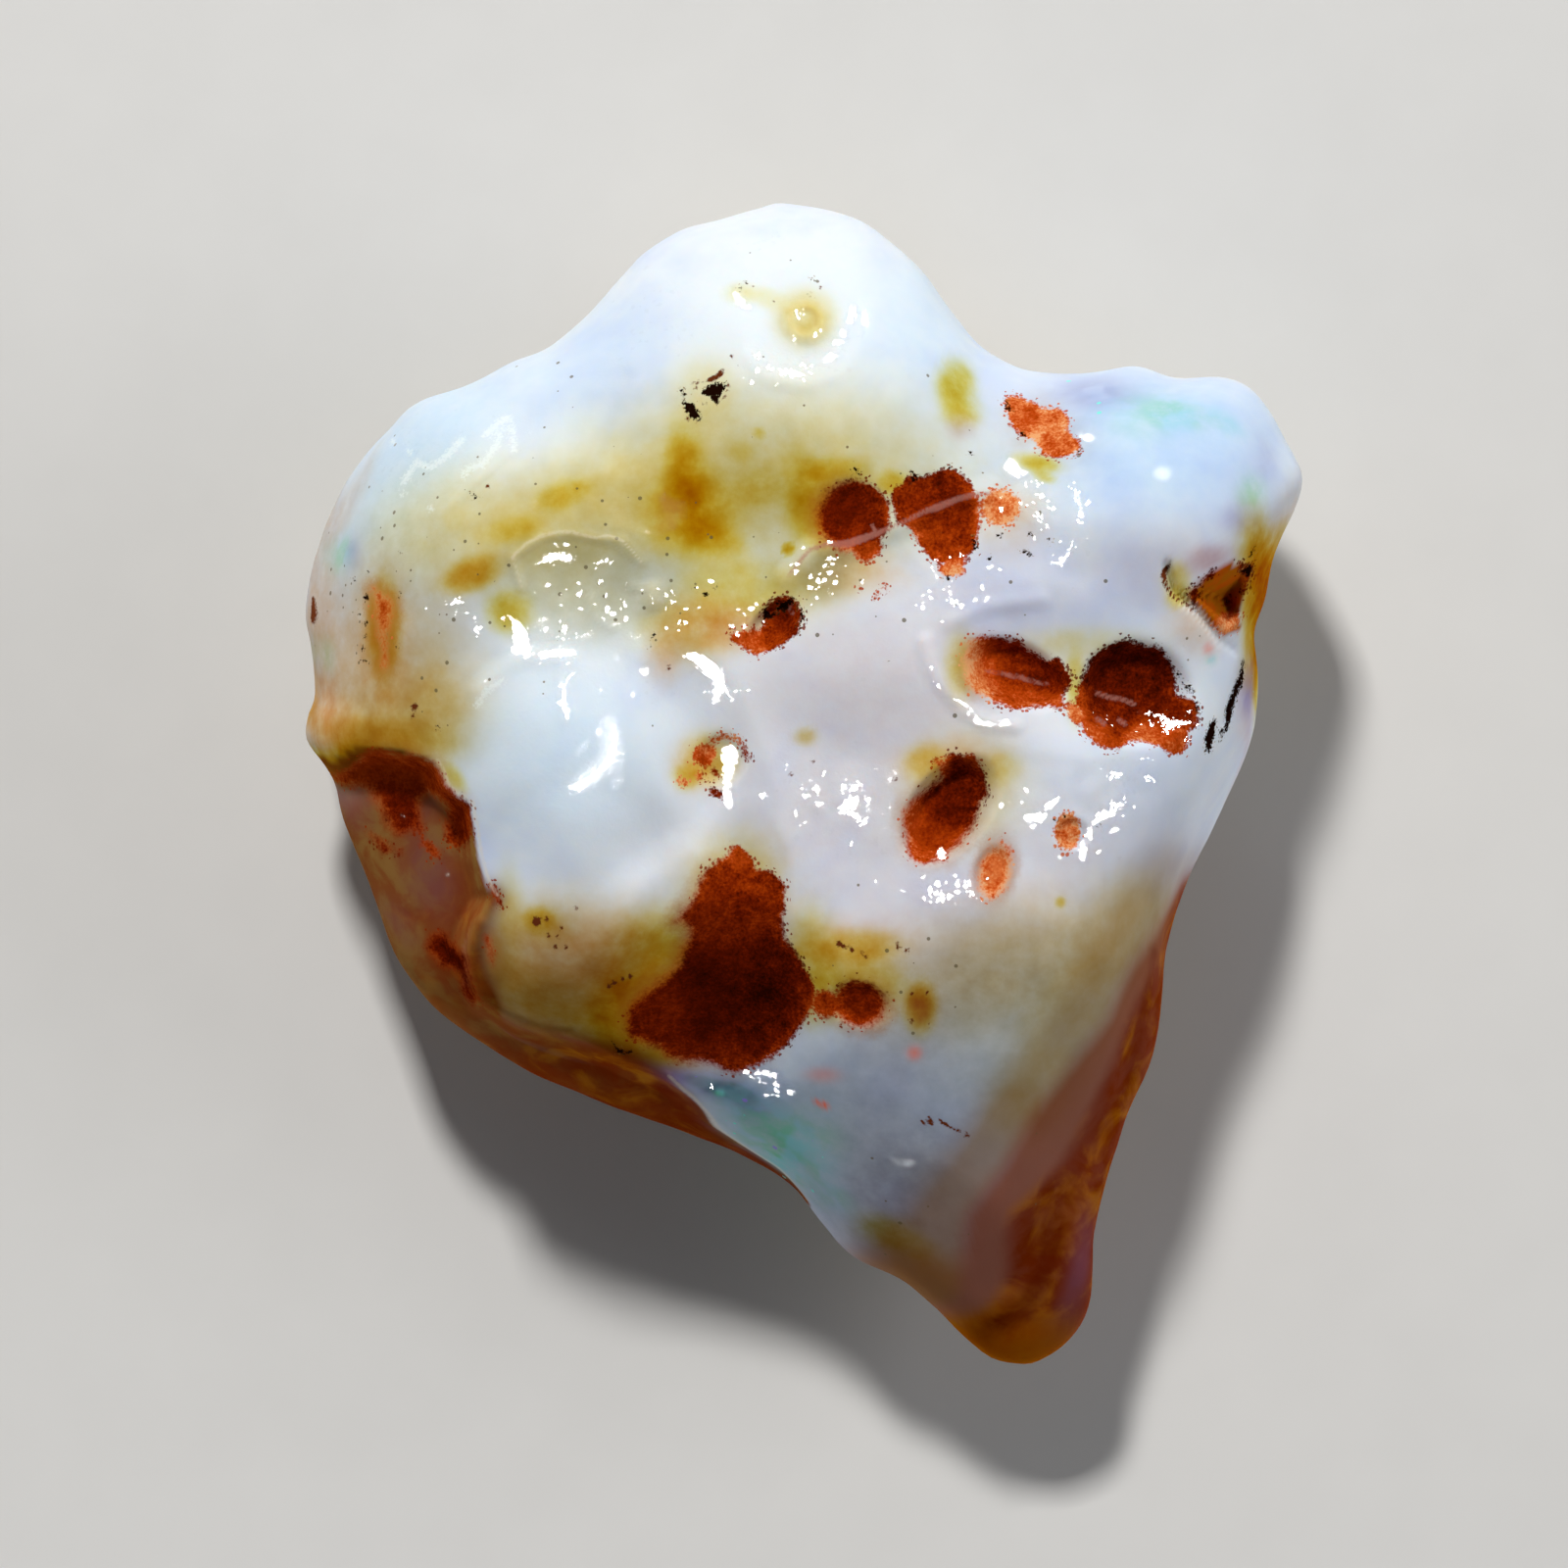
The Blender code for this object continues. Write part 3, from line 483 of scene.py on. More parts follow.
# Each marking is a list of beads with x, y and half-width, joined in a chain. A bead without a
# list of its own is a dot.
GLINTS = {
    "top of the boss": [
        [(-6.11, 3.32, 0.03), (-6.03, 3.38, 0.05), (-5.87, 3.34, 0.08), (-5.73, 3.1, 0.156),
         (-5.71, 2.86, 0.186), (-5.83, 2.68, 0.108)],
        [(-5.71, 2.86, 0.186), (-5.57, 2.64, 0.108)],
        [(-5.39, 2.6, 0.05), (-5.19, 2.62, 0.102), (-4.89, 2.66, 0.096), (-4.65, 2.68, 0.06)],
        (-5.35, 2.48, 0.04), [(-6.47, 2.08, 0.04), (-6.41, 2.16, 0.04)]],
    "cheek": [
        [(-7.21, 3.64, 0.06), (-7.03, 3.68, 0.085), (-6.91, 3.72, 0.07)], (-7.03, 3.46, 0.05),
        (-6.81, 3.5, 0.04), [(-6.61, 3.26, 0.04), (-6.63, 3.12, 0.08), (-6.57, 3.02, 0.05)],
        (-7.67, 3.58, 0.04), (-7.89, 3.3, 0.04), (-7.93, 3.22, 0.05), (-7.77, 3.18, 0.04),
        (-9.43, 3.4, 0.04)],
    "under the scoop's rim": [
        [(-5.25, 4.54, 0.08), (-4.99, 4.62, 0.09), (-4.75, 4.56, 0.096), (-4.63, 4.64, 0.05)],
        [(-4.75, 4.56, 0.096), (-4.73, 4.44, 0.05)], [(-4.99, 4.86, 0.05), (-4.75, 4.86, 0.05)],
        (-5.37, 4.42, 0.04), (-5.05, 4.42, 0.04),
        [(-4.23, 4.42, 0.05), (-4.07, 4.48, 0.05), (-3.91, 4.5, 0.05)]],
    "in the scoop": [
        [(-4.97, 3.6, 0.04), (-4.79, 3.58, 0.05)], [(-4.91, 3.28, 0.05), (-4.83, 3.12, 0.06)],
        [(-4.93, 2.96, 0.05), (-4.77, 2.98, 0.05)], (-4.27, 3.66, 0.04),
        [(-4.29, 3.56, 0.025), (-4.19, 3.44, 0.03)],
        [(-3.23, 3.92, 0.025), (-3.1, 3.8, 0.035), (-3.07, 3.64, 0.025)], (-4.47, 3.88, 0.04),
        (-5.07, 3.78, 0.035), (-4.87, 3.76, 0.035)],
    "below the bar": [
        (-4.85, 2.36, 0.05), (-4.63, 2.34, 0.04), (-4.67, 2.2, 0.07), (-4.83, 2.08, 0.06),
        [(-4.91, 2.0, 0.06), (-4.85, 1.8, 0.06), (-4.85, 1.68, 0.06), (-4.95, 1.6, 0.04)],
        [(-4.83, 1.52, 0.08), (-4.77, 1.5, 0.08)], (-4.79, 1.32, 0.05), (-4.55, 1.78, 0.035),
        (-4.57, 1.3, 0.035)],
    "crescent on the boss": [
        [(-3.93, 1.3, 0.03), (-3.85, 1.1, 0.04), (-3.8, 0.86, 0.06), (-3.84, 0.64, 0.1),
         (-3.97, 0.44, 0.09), (-4.14, 0.24, 0.06), (-4.37, 0.06, 0.055), (-4.55, -0.08, 0.08),
         (-4.75, -0.06, 0.03)],
        (-4.17, 1.04, 0.07)],
    "beside the scoop": [
        [(-2.41, 2.58, 0.06), (-2.27, 2.6, 0.108), (-2.07, 2.5, 0.144), (-1.87, 2.34, 0.168),
         (-1.73, 2.16, 0.162), (-1.69, 2.0, 0.12), (-1.75, 1.84, 0.096), (-1.75, 1.72, 0.07)],
        [(-1.6, 1.95, 0.108), (-1.52, 1.82, 0.07), (-1.45, 1.68, 0.05)], (-2.47, 2.38, 0.04),
        (-1.87, 1.84, 0.05), (-2.01, 1.84, 0.035), (-1.59, 1.7, 0.035), (-1.29, 1.92, 0.05),
        (-1.13, 1.9, 0.05), (-1.89, 1.52, 0.035), (-2.95, 1.92, 0.04), (-2.85, 1.7, 0.04)],
    "gully pit": [
        [(-1.5, 0.62, 0.192), (-1.5, 0.42, 0.168), (-1.54, 0.2, 0.12), (-1.55, 0.0, 0.08),
         (-1.53, -0.24, 0.096), (-1.51, -0.4, 0.108)],
        (-1.29, 0.92, 0.04), (-0.83, -0.24, 0.102)],
    "gully": [
        (-0.33, 0.36, 0.065), (0.01, -0.02, 0.06), (0.03, -0.24, 0.08),
        [(0.25, -0.08, 0.09), (0.31, -0.18, 0.075)], (0.31, -0.38, 0.095), (0.41, 0.24, 0.065),
        [(-0.15, -0.56, 0.06), (-0.17, -0.68, 0.06)], (0.07, -0.72, 0.06), (0.0, -0.8, 0.06)],
    "middle": [
        (0.78, -0.55, 0.1), [(0.92, -0.4, 0.12), (0.98, -0.5, 0.09)], (1.1, -0.34, 0.1),
        (1.28, -0.28, 0.1), (0.98, -0.14, 0.08), (1.1, 0.0, 0.08), (1.36, -0.5, 0.08),
        (1.06, -0.64, 0.12), [(1.22, -0.74, 0.1), (1.2, -0.86, 0.07)],
        [(0.99, -1.18, 0.06), (0.97, -1.24, 0.05)], [(0.71, -1.2, 0.05), (0.65, -1.22, 0.04)],
        (0.43, -1.24, 0.05), (1.21, -1.36, 0.035)],
    "tilted pit": [
        (2.79, -1.42, 0.12), [(2.81, -2.2, 0.06), (2.79, -2.32, 0.102)], (3.13, -2.42, 0.035),
        [(3.25, -2.0, 0.04), (3.33, -2.14, 0.05), (3.49, -2.28, 0.05)]],
    "left of the speck pit": [
        (4.33, -0.4, 0.075), (4.51, -0.14, 0.065),
        [(4.47, -0.66, 0.065), (4.65, -0.72, 0.096), (4.85, -0.66, 0.096)], (4.65, -0.86, 0.085),
        [(4.95, -0.46, 0.095), (5.11, -0.32, 0.075)]],
    "speck pit": [
        [(5.77, -0.94, 0.096), (5.79, -1.04, 0.096)], [(5.67, -1.3, 0.096), (5.65, -1.48, 0.08)],
        (5.23, -1.48, 0.035), (5.99, -1.36, 0.05),
        [(5.9, -0.8, 0.08), (6.05, -0.64, 0.1), (6.25, -0.6, 0.08)],
        [(6.21, -0.4, 0.07), (6.41, -0.44, 0.08), (6.51, -0.3, 0.05)], (6.71, -0.46, 0.06),
        (6.47, -0.66, 0.05), [(6.23, -0.96, 0.07), (6.33, -0.92, 0.05)]],
    "under the round pit": [
        (6.05, 0.32, 0.05), [(6.15, 0.12, 0.07), (6.29, 0.2, 0.09), (6.43, 0.18, 0.06)],
        [(6.97, 0.12, 0.09), (7.07, 0.06, 0.06)], (6.65, 0.12, 0.035),
        [(6.81, 0.58, 0.03), (7.01, 0.52, 0.03), (7.17, 0.4, 0.03)]],
    "round pit": [
        [(6.83, 1.44, 0.04), (7.01, 1.44, 0.06), (7.21, 1.38, 0.07), (7.41, 1.2, 0.12),
         (7.61, 1.24, 0.09), (7.85, 1.28, 0.06), (7.99, 1.2, 0.04)],
        (7.39, 1.08, 0.096), (6.85, 1.22, 0.05), [(7.05, 1.22, 0.06), (7.11, 1.22, 0.05)],
        (6.73, 1.1, 0.04), [(7.77, 0.92, 0.05), (7.81, 0.84, 0.04)],
        [(6.15, 1.32, 0.03), (6.25, 1.24, 0.03)], [(5.91, 1.24, 0.03), (5.95, 1.16, 0.03)],
        (5.9, 1.42, 0.03), (6.27, 1.1, 0.03)],
    "by the corner crack": [
        (7.65, 2.94, 0.04), (7.71, 2.82, 0.05), (8.09, 2.86, 0.04)],
    "lip of the long pit": [
        [(2.61, 2.36, 0.05), (2.63, 2.26, 0.03)],
        [(2.65, 2.14, 0.04), (2.71, 2.0, 0.04), (2.79, 1.88, 0.05)],
        [(3.05, 1.74, 0.06), (3.17, 1.66, 0.065), (3.33, 1.54, 0.06), (3.41, 1.36, 0.065),
         (3.55, 1.26, 0.07), (3.71, 1.22, 0.06), (3.97, 1.22, 0.055), (4.15, 1.24, 0.07),
         (4.17, 1.14, 0.05)],
        (4.33, 2.06, 0.05), (3.85, 1.82, 0.035), (5.03, 1.78, 0.035)],
    "over the right dish": [
        [(4.11, 6.4, 0.08), (4.23, 6.48, 0.12), (4.31, 6.32, 0.108), (4.33, 6.22, 0.05)],
        (4.41, 6.5, 0.05), (4.49, 6.3, 0.06), [(4.55, 6.14, 0.04), (4.51, 6.04, 0.05)],
        [(4.67, 6.1, 0.03), (4.75, 6.08, 0.04)], (4.87, 6.08, 0.035), (3.83, 6.34, 0.035)],
    "ring in the right dish": [
        [(4.61, 5.76, 0.03), (4.71, 5.84, 0.045), (4.83, 5.82, 0.06), (4.91, 5.72, 0.06),
         (4.95, 5.62, 0.03)],
        [(4.65, 5.74, 0.04), (4.76, 5.62, 0.03)],
        [(4.75, 5.44, 0.08), (4.81, 5.32, 0.05), (4.83, 5.16, 0.04)]],
    "right wall of the dish": [
        [(5.39, 6.0, 0.04), (5.47, 5.98, 0.04)], (5.51, 6.1, 0.04),
        [(5.57, 5.94, 0.06), (5.53, 5.76, 0.06), (5.61, 5.68, 0.045), (5.63, 5.5, 0.045),
         (5.59, 5.38, 0.06), (5.63, 5.26, 0.045), (5.57, 5.2, 0.04)],
        [(5.47, 4.94, 0.03), (5.45, 4.84, 0.06)],
        [(5.37, 4.74, 0.05), (5.31, 4.6, 0.055), (5.21, 4.48, 0.07), (5.05, 4.44, 0.06)],
        (5.09, 4.58, 0.06), (4.89, 4.32, 0.04),
        [(3.77, 4.38, 0.04), (3.97, 4.36, 0.04), (4.03, 4.28, 0.05)],
        [(5.73, 7.02, 0.07), (5.85, 7.0, 0.06)], (5.57, 7.14, 0.05)],
    "by the crest": [
        [(0.51, 4.56, 0.06), (0.59, 4.46, 0.08)], (0.59, 3.84, 0.06), (0.25, 3.94, 0.04),
        [(2.55, 4.44, 0.04), (2.67, 4.36, 0.03)], (2.67, 4.24, 0.035), (2.67, 4.04, 0.035),
        (2.99, 4.04, 0.035), [(2.87, 3.74, 0.05), (3.03, 3.7, 0.08), (3.21, 3.54, 0.06)],
        (2.95, 4.6, 0.035), (3.07, 4.56, 0.035)],
    "crown dish": [
        [(-0.11, 9.56, 0.085), (-0.03, 9.56, 0.065)], (-0.11, 9.44, 0.06),
        [(-0.21, 9.02, 0.06), (-0.17, 8.98, 0.06)], [(0.27, 9.04, 0.075), (0.35, 9.14, 0.075)],
        (-0.91, 8.66, 0.095), [(-0.73, 8.46, 0.065), (-0.59, 8.4, 0.055)],
        [(-0.45, 8.32, 0.065), (-0.27, 8.32, 0.095), (-0.15, 8.32, 0.085)],
        [(-0.05, 8.3, 0.065), (0.01, 8.18, 0.055)], (-0.03, 8.48, 0.065), (0.19, 8.48, 0.065),
        (0.15, 8.36, 0.065), [(0.49, 8.58, 0.085), (0.59, 8.68, 0.085)],
        [(0.63, 8.94, 0.075), (0.75, 9.0, 0.085), (0.85, 9.16, 0.095)],
        [(0.97, 9.38, 0.095), (1.01, 9.66, 0.085)],
        [(-1.35, 9.94, 0.085), (-1.25, 9.74, 0.095), (-1.13, 9.66, 0.075)]],
    "left shoulder": [
        (-8.33, 6.94, 0.04), (-8.15, 6.76, 0.045), (-8.03, 6.9, 0.035), (-7.85, 7.04, 0.045),
        (-8.13, 6.08, 0.035), (-7.87, 6.08, 0.04), (-7.73, 6.08, 0.035), (-7.55, 5.58, 0.045),
        (-6.83, 6.38, 0.04), (-6.89, 5.9, 0.04), (-6.59, 5.96, 0.045),
        [(-6.01, 7.04, 0.03), (-5.89, 6.82, 0.03)], (-6.25, 6.6, 0.035), (-5.55, 7.14, 0.035)],
    "under the great stain": [
        (-1.87, -6.16, 0.065), (-1.17, -5.84, 0.085),
        [(-0.93, -5.86, 0.065), (-0.69, -5.88, 0.065), (-0.57, -5.9, 0.075)], (-1.07, -5.94, 0.06),
        [(-0.53, -6.1, 0.065), (-0.55, -6.32, 0.065)], (-0.35, -6.23, 0.065), (-0.23, -6.26, 0.075),
        (-0.75, -6.36, 0.065), (-0.91, -6.02, 0.065), (-0.79, -6.06, 0.06)],
    "broken flank": [
        (-8.29, -0.76, 0.035), (-8.15, -0.7, 0.035), (-7.71, -0.82, 0.04), (-7.17, -0.8, 0.04),
        [(-7.27, -1.76, 0.04), (-7.25, -1.84, 0.04)]],
}

# A soft cloud seen from above: middle, two half-widths, the turn of the longer one in degrees
# and the strength in the middle.
Cloud = namedtuple("Cloud", "name x y long short turn depth")
CLOUD_EDGE = 2.6  # a higher power gives the clouds firmer edges

FAINT_GLINTS = [
    ("crescent on the boss, right", -3.88, 0.75, 0.2, 0.5, 5, 0.8),
    ("crescent, low", -4.25, 0.2, 0.45, 0.2, 38, 0.9),
    ("boss, upper", -4.45, 0.75, 0.2, 0.06, 50, 0.6),
    ("boss, lower right", -3.76, 0.02, 0.14, 0.06, 45, 0.7),
    ("belly", 2.1, -7.7, 0.16, 0.05, 0, 0.6),
    ("belly, left", 1.8, -7.62, 0.05, 0.05, 0, 0.5),
    ("wing", 7.3, 6.3, 0.14, 0.12, 20, 0.9),
    ("right of the crown dish", 1.27, 9.42, 0.06, 0.16, -10, 0.6),
    ("crown arc", -3.38, 8.2, 0.2, 0.06, 35, 0.25),
]

# How wet the skin is between the glints, from 0 to 1. The ripples glitter where it is wetter,
# and a negative strength dries the dish on the right.
LEAST_WET = 0.004
WET_WALL = 0.01
WET_BACK = 0.25
WALL_START, BACK_START, SIDE_GROWTH = 0.86, 0.95, 0.1  # shares of the way out, and over how much
EDGE_START, EDGE_GROWTH = 0.75, 0.25  # the same where the face's soft stains change to the back's
WET_CLOUDS = [
    ("scoop", -4.4, 3.7, 1.6, 1.1, 0, 0.1),
    ("middle", 0.7, -0.4, 1.3, 1.0, 0, 0.1),
    ("speck pit", 5.6, -0.6, 1.4, 0.8, 0, 0.1),
    ("dry right dish", 5.3, 5.4, 1.3, 1.6, 0, -0.008),
    ("flank", -7.6, -0.9, 0.6, 0.8, 0, 0.05),
]

# Where the wet skin sparkles with tiny glints, and how many of its grains do.
SPARKLE_CLOUDS = [
    ("scoop", -4.2, 3.9, 1.3, 0.7, 0, 0.16),
    ("right of the scoop", -2.4, 3.4, 0.9, 0.7, 0, 0.1),
    ("below the scoop", -3.0, 2.1, 0.8, 0.5, 0, 0.12),
    ("left of the deep pit", -1.2, 3.3, 0.4, 0.3, 0, 0.25),
    ("crest's foot", 0.3, 4.3, 0.6, 0.5, 40, 0.22),
    ("gully", 0.1, -0.4, 0.5, 0.7, 0, 0.4),
    ("middle", 1.2, -0.7, 0.6, 0.8, 0, 0.4),
    ("swell", 1.0, 1.6, 1.0, 0.8, 0, 0.05),
    ("under the twins", 2.9, 4.0, 0.6, 0.5, 0, 0.25),
    ("ring of the dish", 4.9, 5.5, 0.8, 0.9, 0, 0.05),
    ("right wall of the dish", 5.6, 5.4, 0.2, 1.0, 0, 0.12),
    ("over the dish", 4.3, 6.3, 0.4, 0.3, 0, 0.4),
    ("left of the speck pit", 4.7, -0.6, 0.5, 0.4, 0, 0.4),
    ("speck pit", 6.0, -0.75, 0.8, 0.5, 40, 0.35),
    ("under the round pit", 6.5, 0.3, 0.7, 0.3, 0, 0.35),
    ("round pit's rim", 6.3, 1.2, 0.8, 0.3, 0, 0.2),
    ("round pit, right", 7.6, 1.3, 0.5, 0.3, 0, 0.35),
    ("under the tilted pit", 3.0, -2.1, 0.6, 0.35, 0, 0.4),
    ("crown dish, right", 1.0, 9.2, 0.18, 0.6, -15, 0.5),
    ("crown dish, low", -0.3, 8.4, 0.8, 0.2, 8, 0.5),
    ("crown dish, left", -1.3, 9.9, 0.25, 0.35, 30, 0.35),
    ("crown, far left", -3.0, 9.2, 0.7, 1.0, 0, 0.1),
    ("crown top", -0.8, 11.0, 0.4, 0.2, 0, 0.4),
    ("left shoulder", -7.6, 6.6, 1.1, 0.8, 40, 0.1),
    ("left shoulder's edge", -6.0, 7.0, 0.15, 0.5, 25, 0.4),
    ("cheek", -7.2, 3.5, 0.8, 0.4, 0, 0.12),
    ("under the great stain", -0.9, -6.05, 0.5, 0.28, -10, 0.45),
    ("fire", -1.2, -6.6, 0.7, 0.5, -40, 0.12),
    ("corner", 8.0, 2.9, 0.5, 0.4, 0, 0.2),
    ("flank", -7.7, -0.8, 0.6, 0.3, 0, 0.22),
    ("lobe", -4.6, -3.0, 0.25, 1.0, 35, 0.06),
]


def inside_trails(x, y, groups):
    """How many millimetres each place lies inside the nearest chain of beads."""
    inside = np.full_like(x, -FAR)
    for chains in groups.values():
        for chain in chains:
            chain = chain if isinstance(chain, list) else [chain]
            for (ax, ay, a_half), (bx, by, b_half) in zip(chain, chain[1:] or chain):
                run_x, run_y = bx - ax, by - ay
                reach = FAR + max(a_half, b_half)
                near = np.abs(x - (ax + bx) / 2.0) < reach + abs(run_x) / 2.0
                near &= np.abs(y - (ay + by) / 2.0) < reach + abs(run_y) / 2.0
                out_x, out_y = x[near] - ax, y[near] - ay
                length = run_x**2 + run_y**2 + NO_LENGTH
                along = np.clip((out_x * run_x + out_y * run_y) / length, 0.0, 1.0)
                away = np.hypot(out_x - along * run_x, out_y - along * run_y)
                half = a_half + along * (b_half - a_half)
                inside[near] = np.maximum(inside[near], half - away)
    return inside


def clouds(x, y, parts, edge=CLOUD_EDGE):
    """The depth of soft clouds at each place."""
    parts = [Cloud(*row) for row in parts]
    return sum(part.depth * np.exp(-(ellipse_distance(x, y, part) ** edge)) for part in parts)


def keep_field(name, values):
    """Keeps one number for each point of the stone under a name that the material reads."""
    stone_mesh.attributes.new(name, "FLOAT", "POINT").data.foreach_set("value", values)


def soft_field(name, face, back=0.0):
    """A soft stain that changes to its strength on the back a little way round the outline."""
    near_edge = np.where(on_face, 1.0, smooth_step((share - EDGE_START) / EDGE_GROWTH))
    keep_field(name, face * near_edge + back * (1.0 - near_edge))


keep_field("glint", np.where(on_face, inside_trails(x, y, GLINTS), -FAR))
keep_field("sparkle", np.where(on_face, np.minimum(clouds(x, y, SPARKLE_CLOUDS), 1.0), 0.0))
keep_field("faint glint", np.where(on_face, clouds(x, y, FAINT_GLINTS), 0.0))
wet = np.maximum(LEAST_WET + clouds(x, y, WET_CLOUDS), 0.0)
wet += (WET_WALL - wet) * smooth_step((share - WALL_START) / SIDE_GROWTH)
wet_back = WET_WALL + (WET_BACK - WET_WALL) * smooth_step((BACK_START - share) / SIDE_GROWTH)
keep_field("wet", np.where(on_face, wet, wet_back))


# The rust in the pits
# Iron from the weathered grains stained the opal dark red-brown inside each pit, with ragged
# dotted edges, and orange where the stain is thin.

# The outlines of the great pits' stains, seen from above.
RUST_PATCHES = {
    "right twin": [
        (1.85, 6.0), (2.01, 6.08), (2.17, 6.26), (2.41, 6.22), (2.71, 6.36), (2.97, 6.4),
        (3.17, 6.32), (3.33, 6.16), (3.47, 5.94), (3.57, 5.64), (3.57, 5.3), (3.55, 5.0),
        (3.49, 4.76), (3.37, 4.64), (3.25, 4.44), (3.05, 4.4), (2.81, 4.46), (2.57, 4.56),
        (2.41, 4.76), (2.25, 5.0), (2.11, 5.2), (1.91, 5.34), (1.81, 5.6), (1.79, 5.84)],
    "under the wing hollow": [
        (4.09, 7.84), (4.21, 7.92), (4.45, 7.86), (4.65, 7.76), (4.85, 7.66), (5.17, 7.64),
        (5.33, 7.52), (5.41, 7.36), (5.37, 7.2), (5.45, 7.08), (5.57, 6.96), (5.63, 6.8),
        (5.53, 6.68), (5.37, 6.68), (5.13, 6.6), (4.89, 6.64), (4.77, 6.8), (4.65, 6.96),
        (4.47, 7.04), (4.33, 7.14), (4.21, 7.32), (4.13, 7.52), (4.09, 7.7)],
    "small deep pit": [
        (-0.75, 3.64), (-0.59, 3.74), (-0.39, 3.82), (-0.19, 3.76), (-0.07, 3.6),
        (-0.03, 3.36), (-0.07, 3.14), (-0.23, 2.96), (-0.39, 2.84), (-0.59, 2.74),
        (-0.79, 2.64), (-0.99, 2.6), (-1.15, 2.72), (-1.29, 2.8), (-1.49, 2.94),
        (-1.45, 3.04), (-1.25, 3.1), (-0.99, 3.14), (-0.83, 3.2), (-0.81, 3.4)],
    "long pit": [
        (3.31, 2.9), (3.61, 3.0), (3.91, 3.0), (4.17, 2.9), (4.31, 2.96), (4.43, 2.84),
        (4.53, 2.72), (4.71, 2.64), (4.91, 2.52), (5.17, 2.56), (5.27, 2.4), (5.41, 2.2),
        (5.45, 2.0), (5.31, 1.9), (5.27, 1.7), (5.35, 1.5), (5.11, 1.56), (4.81, 1.56),
        (4.51, 1.54), (4.21, 1.52), (3.97, 1.6), (3.71, 1.72), (3.45, 1.84), (3.31, 2.0),
        (3.23, 2.3), (3.21, 2.6)],
    "round pit": [
        (5.91, 2.64), (6.11, 2.8), (6.31, 2.88), (6.61, 2.92), (6.91, 2.82), (7.17, 2.8),
        (7.33, 2.64), (7.45, 2.46), (7.55, 2.24), (7.55, 1.98), (7.61, 1.8), (7.85, 1.76),
        (7.99, 1.56), (7.99, 1.2), (7.85, 1.1), (7.77, 0.8), (7.67, 0.6), (7.41, 0.64),
        (7.21, 0.76), (6.91, 0.84), (6.61, 0.86), (6.41, 0.7), (6.21, 0.72), (5.97, 0.8),
        (5.75, 0.96), (5.61, 1.16), (5.57, 1.44), (5.53, 1.7), (5.57, 2.0), (5.67, 2.24),
        (5.77, 2.46)],
    "tilted pit": [
        (2.65, 0.5), (2.85, 0.52), (3.01, 0.64), (3.21, 0.58), (3.41, 0.64), (3.55, 0.44),
        (3.67, 0.24), (3.71, 0.0), (3.77, -0.24), (3.63, -0.36), (3.57, -0.6),
        (3.47, -0.84), (3.31, -1.06), (3.17, -1.24), (2.97, -1.4), (2.85, -1.56),
        (2.61, -1.6), (2.37, -1.64), (2.21, -1.56), (2.11, -1.4), (2.05, -1.16),
        (2.01, -0.9), (1.97, -0.64), (2.11, -0.4), (2.25, -0.24), (2.45, -0.08),
        (2.61, 0.06), (2.77, 0.14), (2.71, 0.3)],
    "great stain": [
        (-1.35, -1.22), (-1.59, -1.44), (-1.95, -1.7), (-2.15, -2.0), (-2.27, -2.3),
        (-2.39, -2.44), (-2.59, -2.7), (-2.63, -2.84), (-2.45, -2.86), (-2.37, -3.0),
        (-2.49, -3.3), (-2.59, -3.6), (-2.89, -3.9), (-3.29, -4.2), (-3.55, -4.5),
        (-3.63, -4.84), (-3.55, -5.16), (-3.29, -5.3), (-2.99, -5.4), (-2.79, -5.6),
        (-2.39, -5.7), (-1.99, -5.7), (-1.69, -5.8), (-1.39, -5.92), (-1.09, -5.8),
        (-0.69, -5.6), (-0.39, -5.36), (-0.15, -5.04), (0.05, -4.8), (0.25, -4.4),
        (0.27, -4.16), (0.17, -3.9), (0.01, -3.64), (-0.15, -3.36), (-0.35, -3.1),
        (-0.41, -2.8), (-0.37, -2.5), (-0.37, -2.1), (-0.49, -1.9), (-0.69, -1.76),
        (-0.95, -1.7), (-1.03, -1.5), (-1.19, -1.32)],
    "flank": [
        (-8.73, 0.76), (-8.39, 0.7), (-8.15, 0.6), (-7.99, 0.66), (-7.75, 0.56),
        (-7.47, 0.44), (-7.35, 0.3), (-7.23, 0.06), (-7.09, -0.12), (-6.91, -0.28),
        (-6.75, -0.44), (-6.71, -0.7), (-6.73, -1.0), (-6.83, -1.2), (-7.03, -1.32),
        (-7.23, -1.2), (-7.29, -1.0), (-7.33, -0.7), (-7.23, -0.5), (-7.39, -0.36),
        (-7.59, -0.24), (-7.75, -0.4), (-7.75, -0.7), (-7.67, -0.96), (-7.83, -1.04),
        (-7.99, -0.96), (-8.23, -1.0), (-8.43, -0.84), (-8.55, -0.56), (-8.69, -0.24),
        (-8.89, -0.04), (-9.15, 0.0), (-9.23, 0.2), (-9.13, 0.44), (-8.95, 0.64)],
    "flank, low": [
        (-7.73, -3.4), (-7.59, -3.04), (-7.29, -3.0), (-7.15, -3.16), (-6.89, -3.36),
        (-6.75, -3.5), (-6.73, -3.8), (-6.67, -4.1), (-6.55, -4.4), (-6.79, -4.48),
        (-6.99, -4.36), (-7.03, -4.0), (-7.15, -3.84), (-7.39, -3.84), (-7.55, -3.7),
        (-7.75, -3.5)],
}

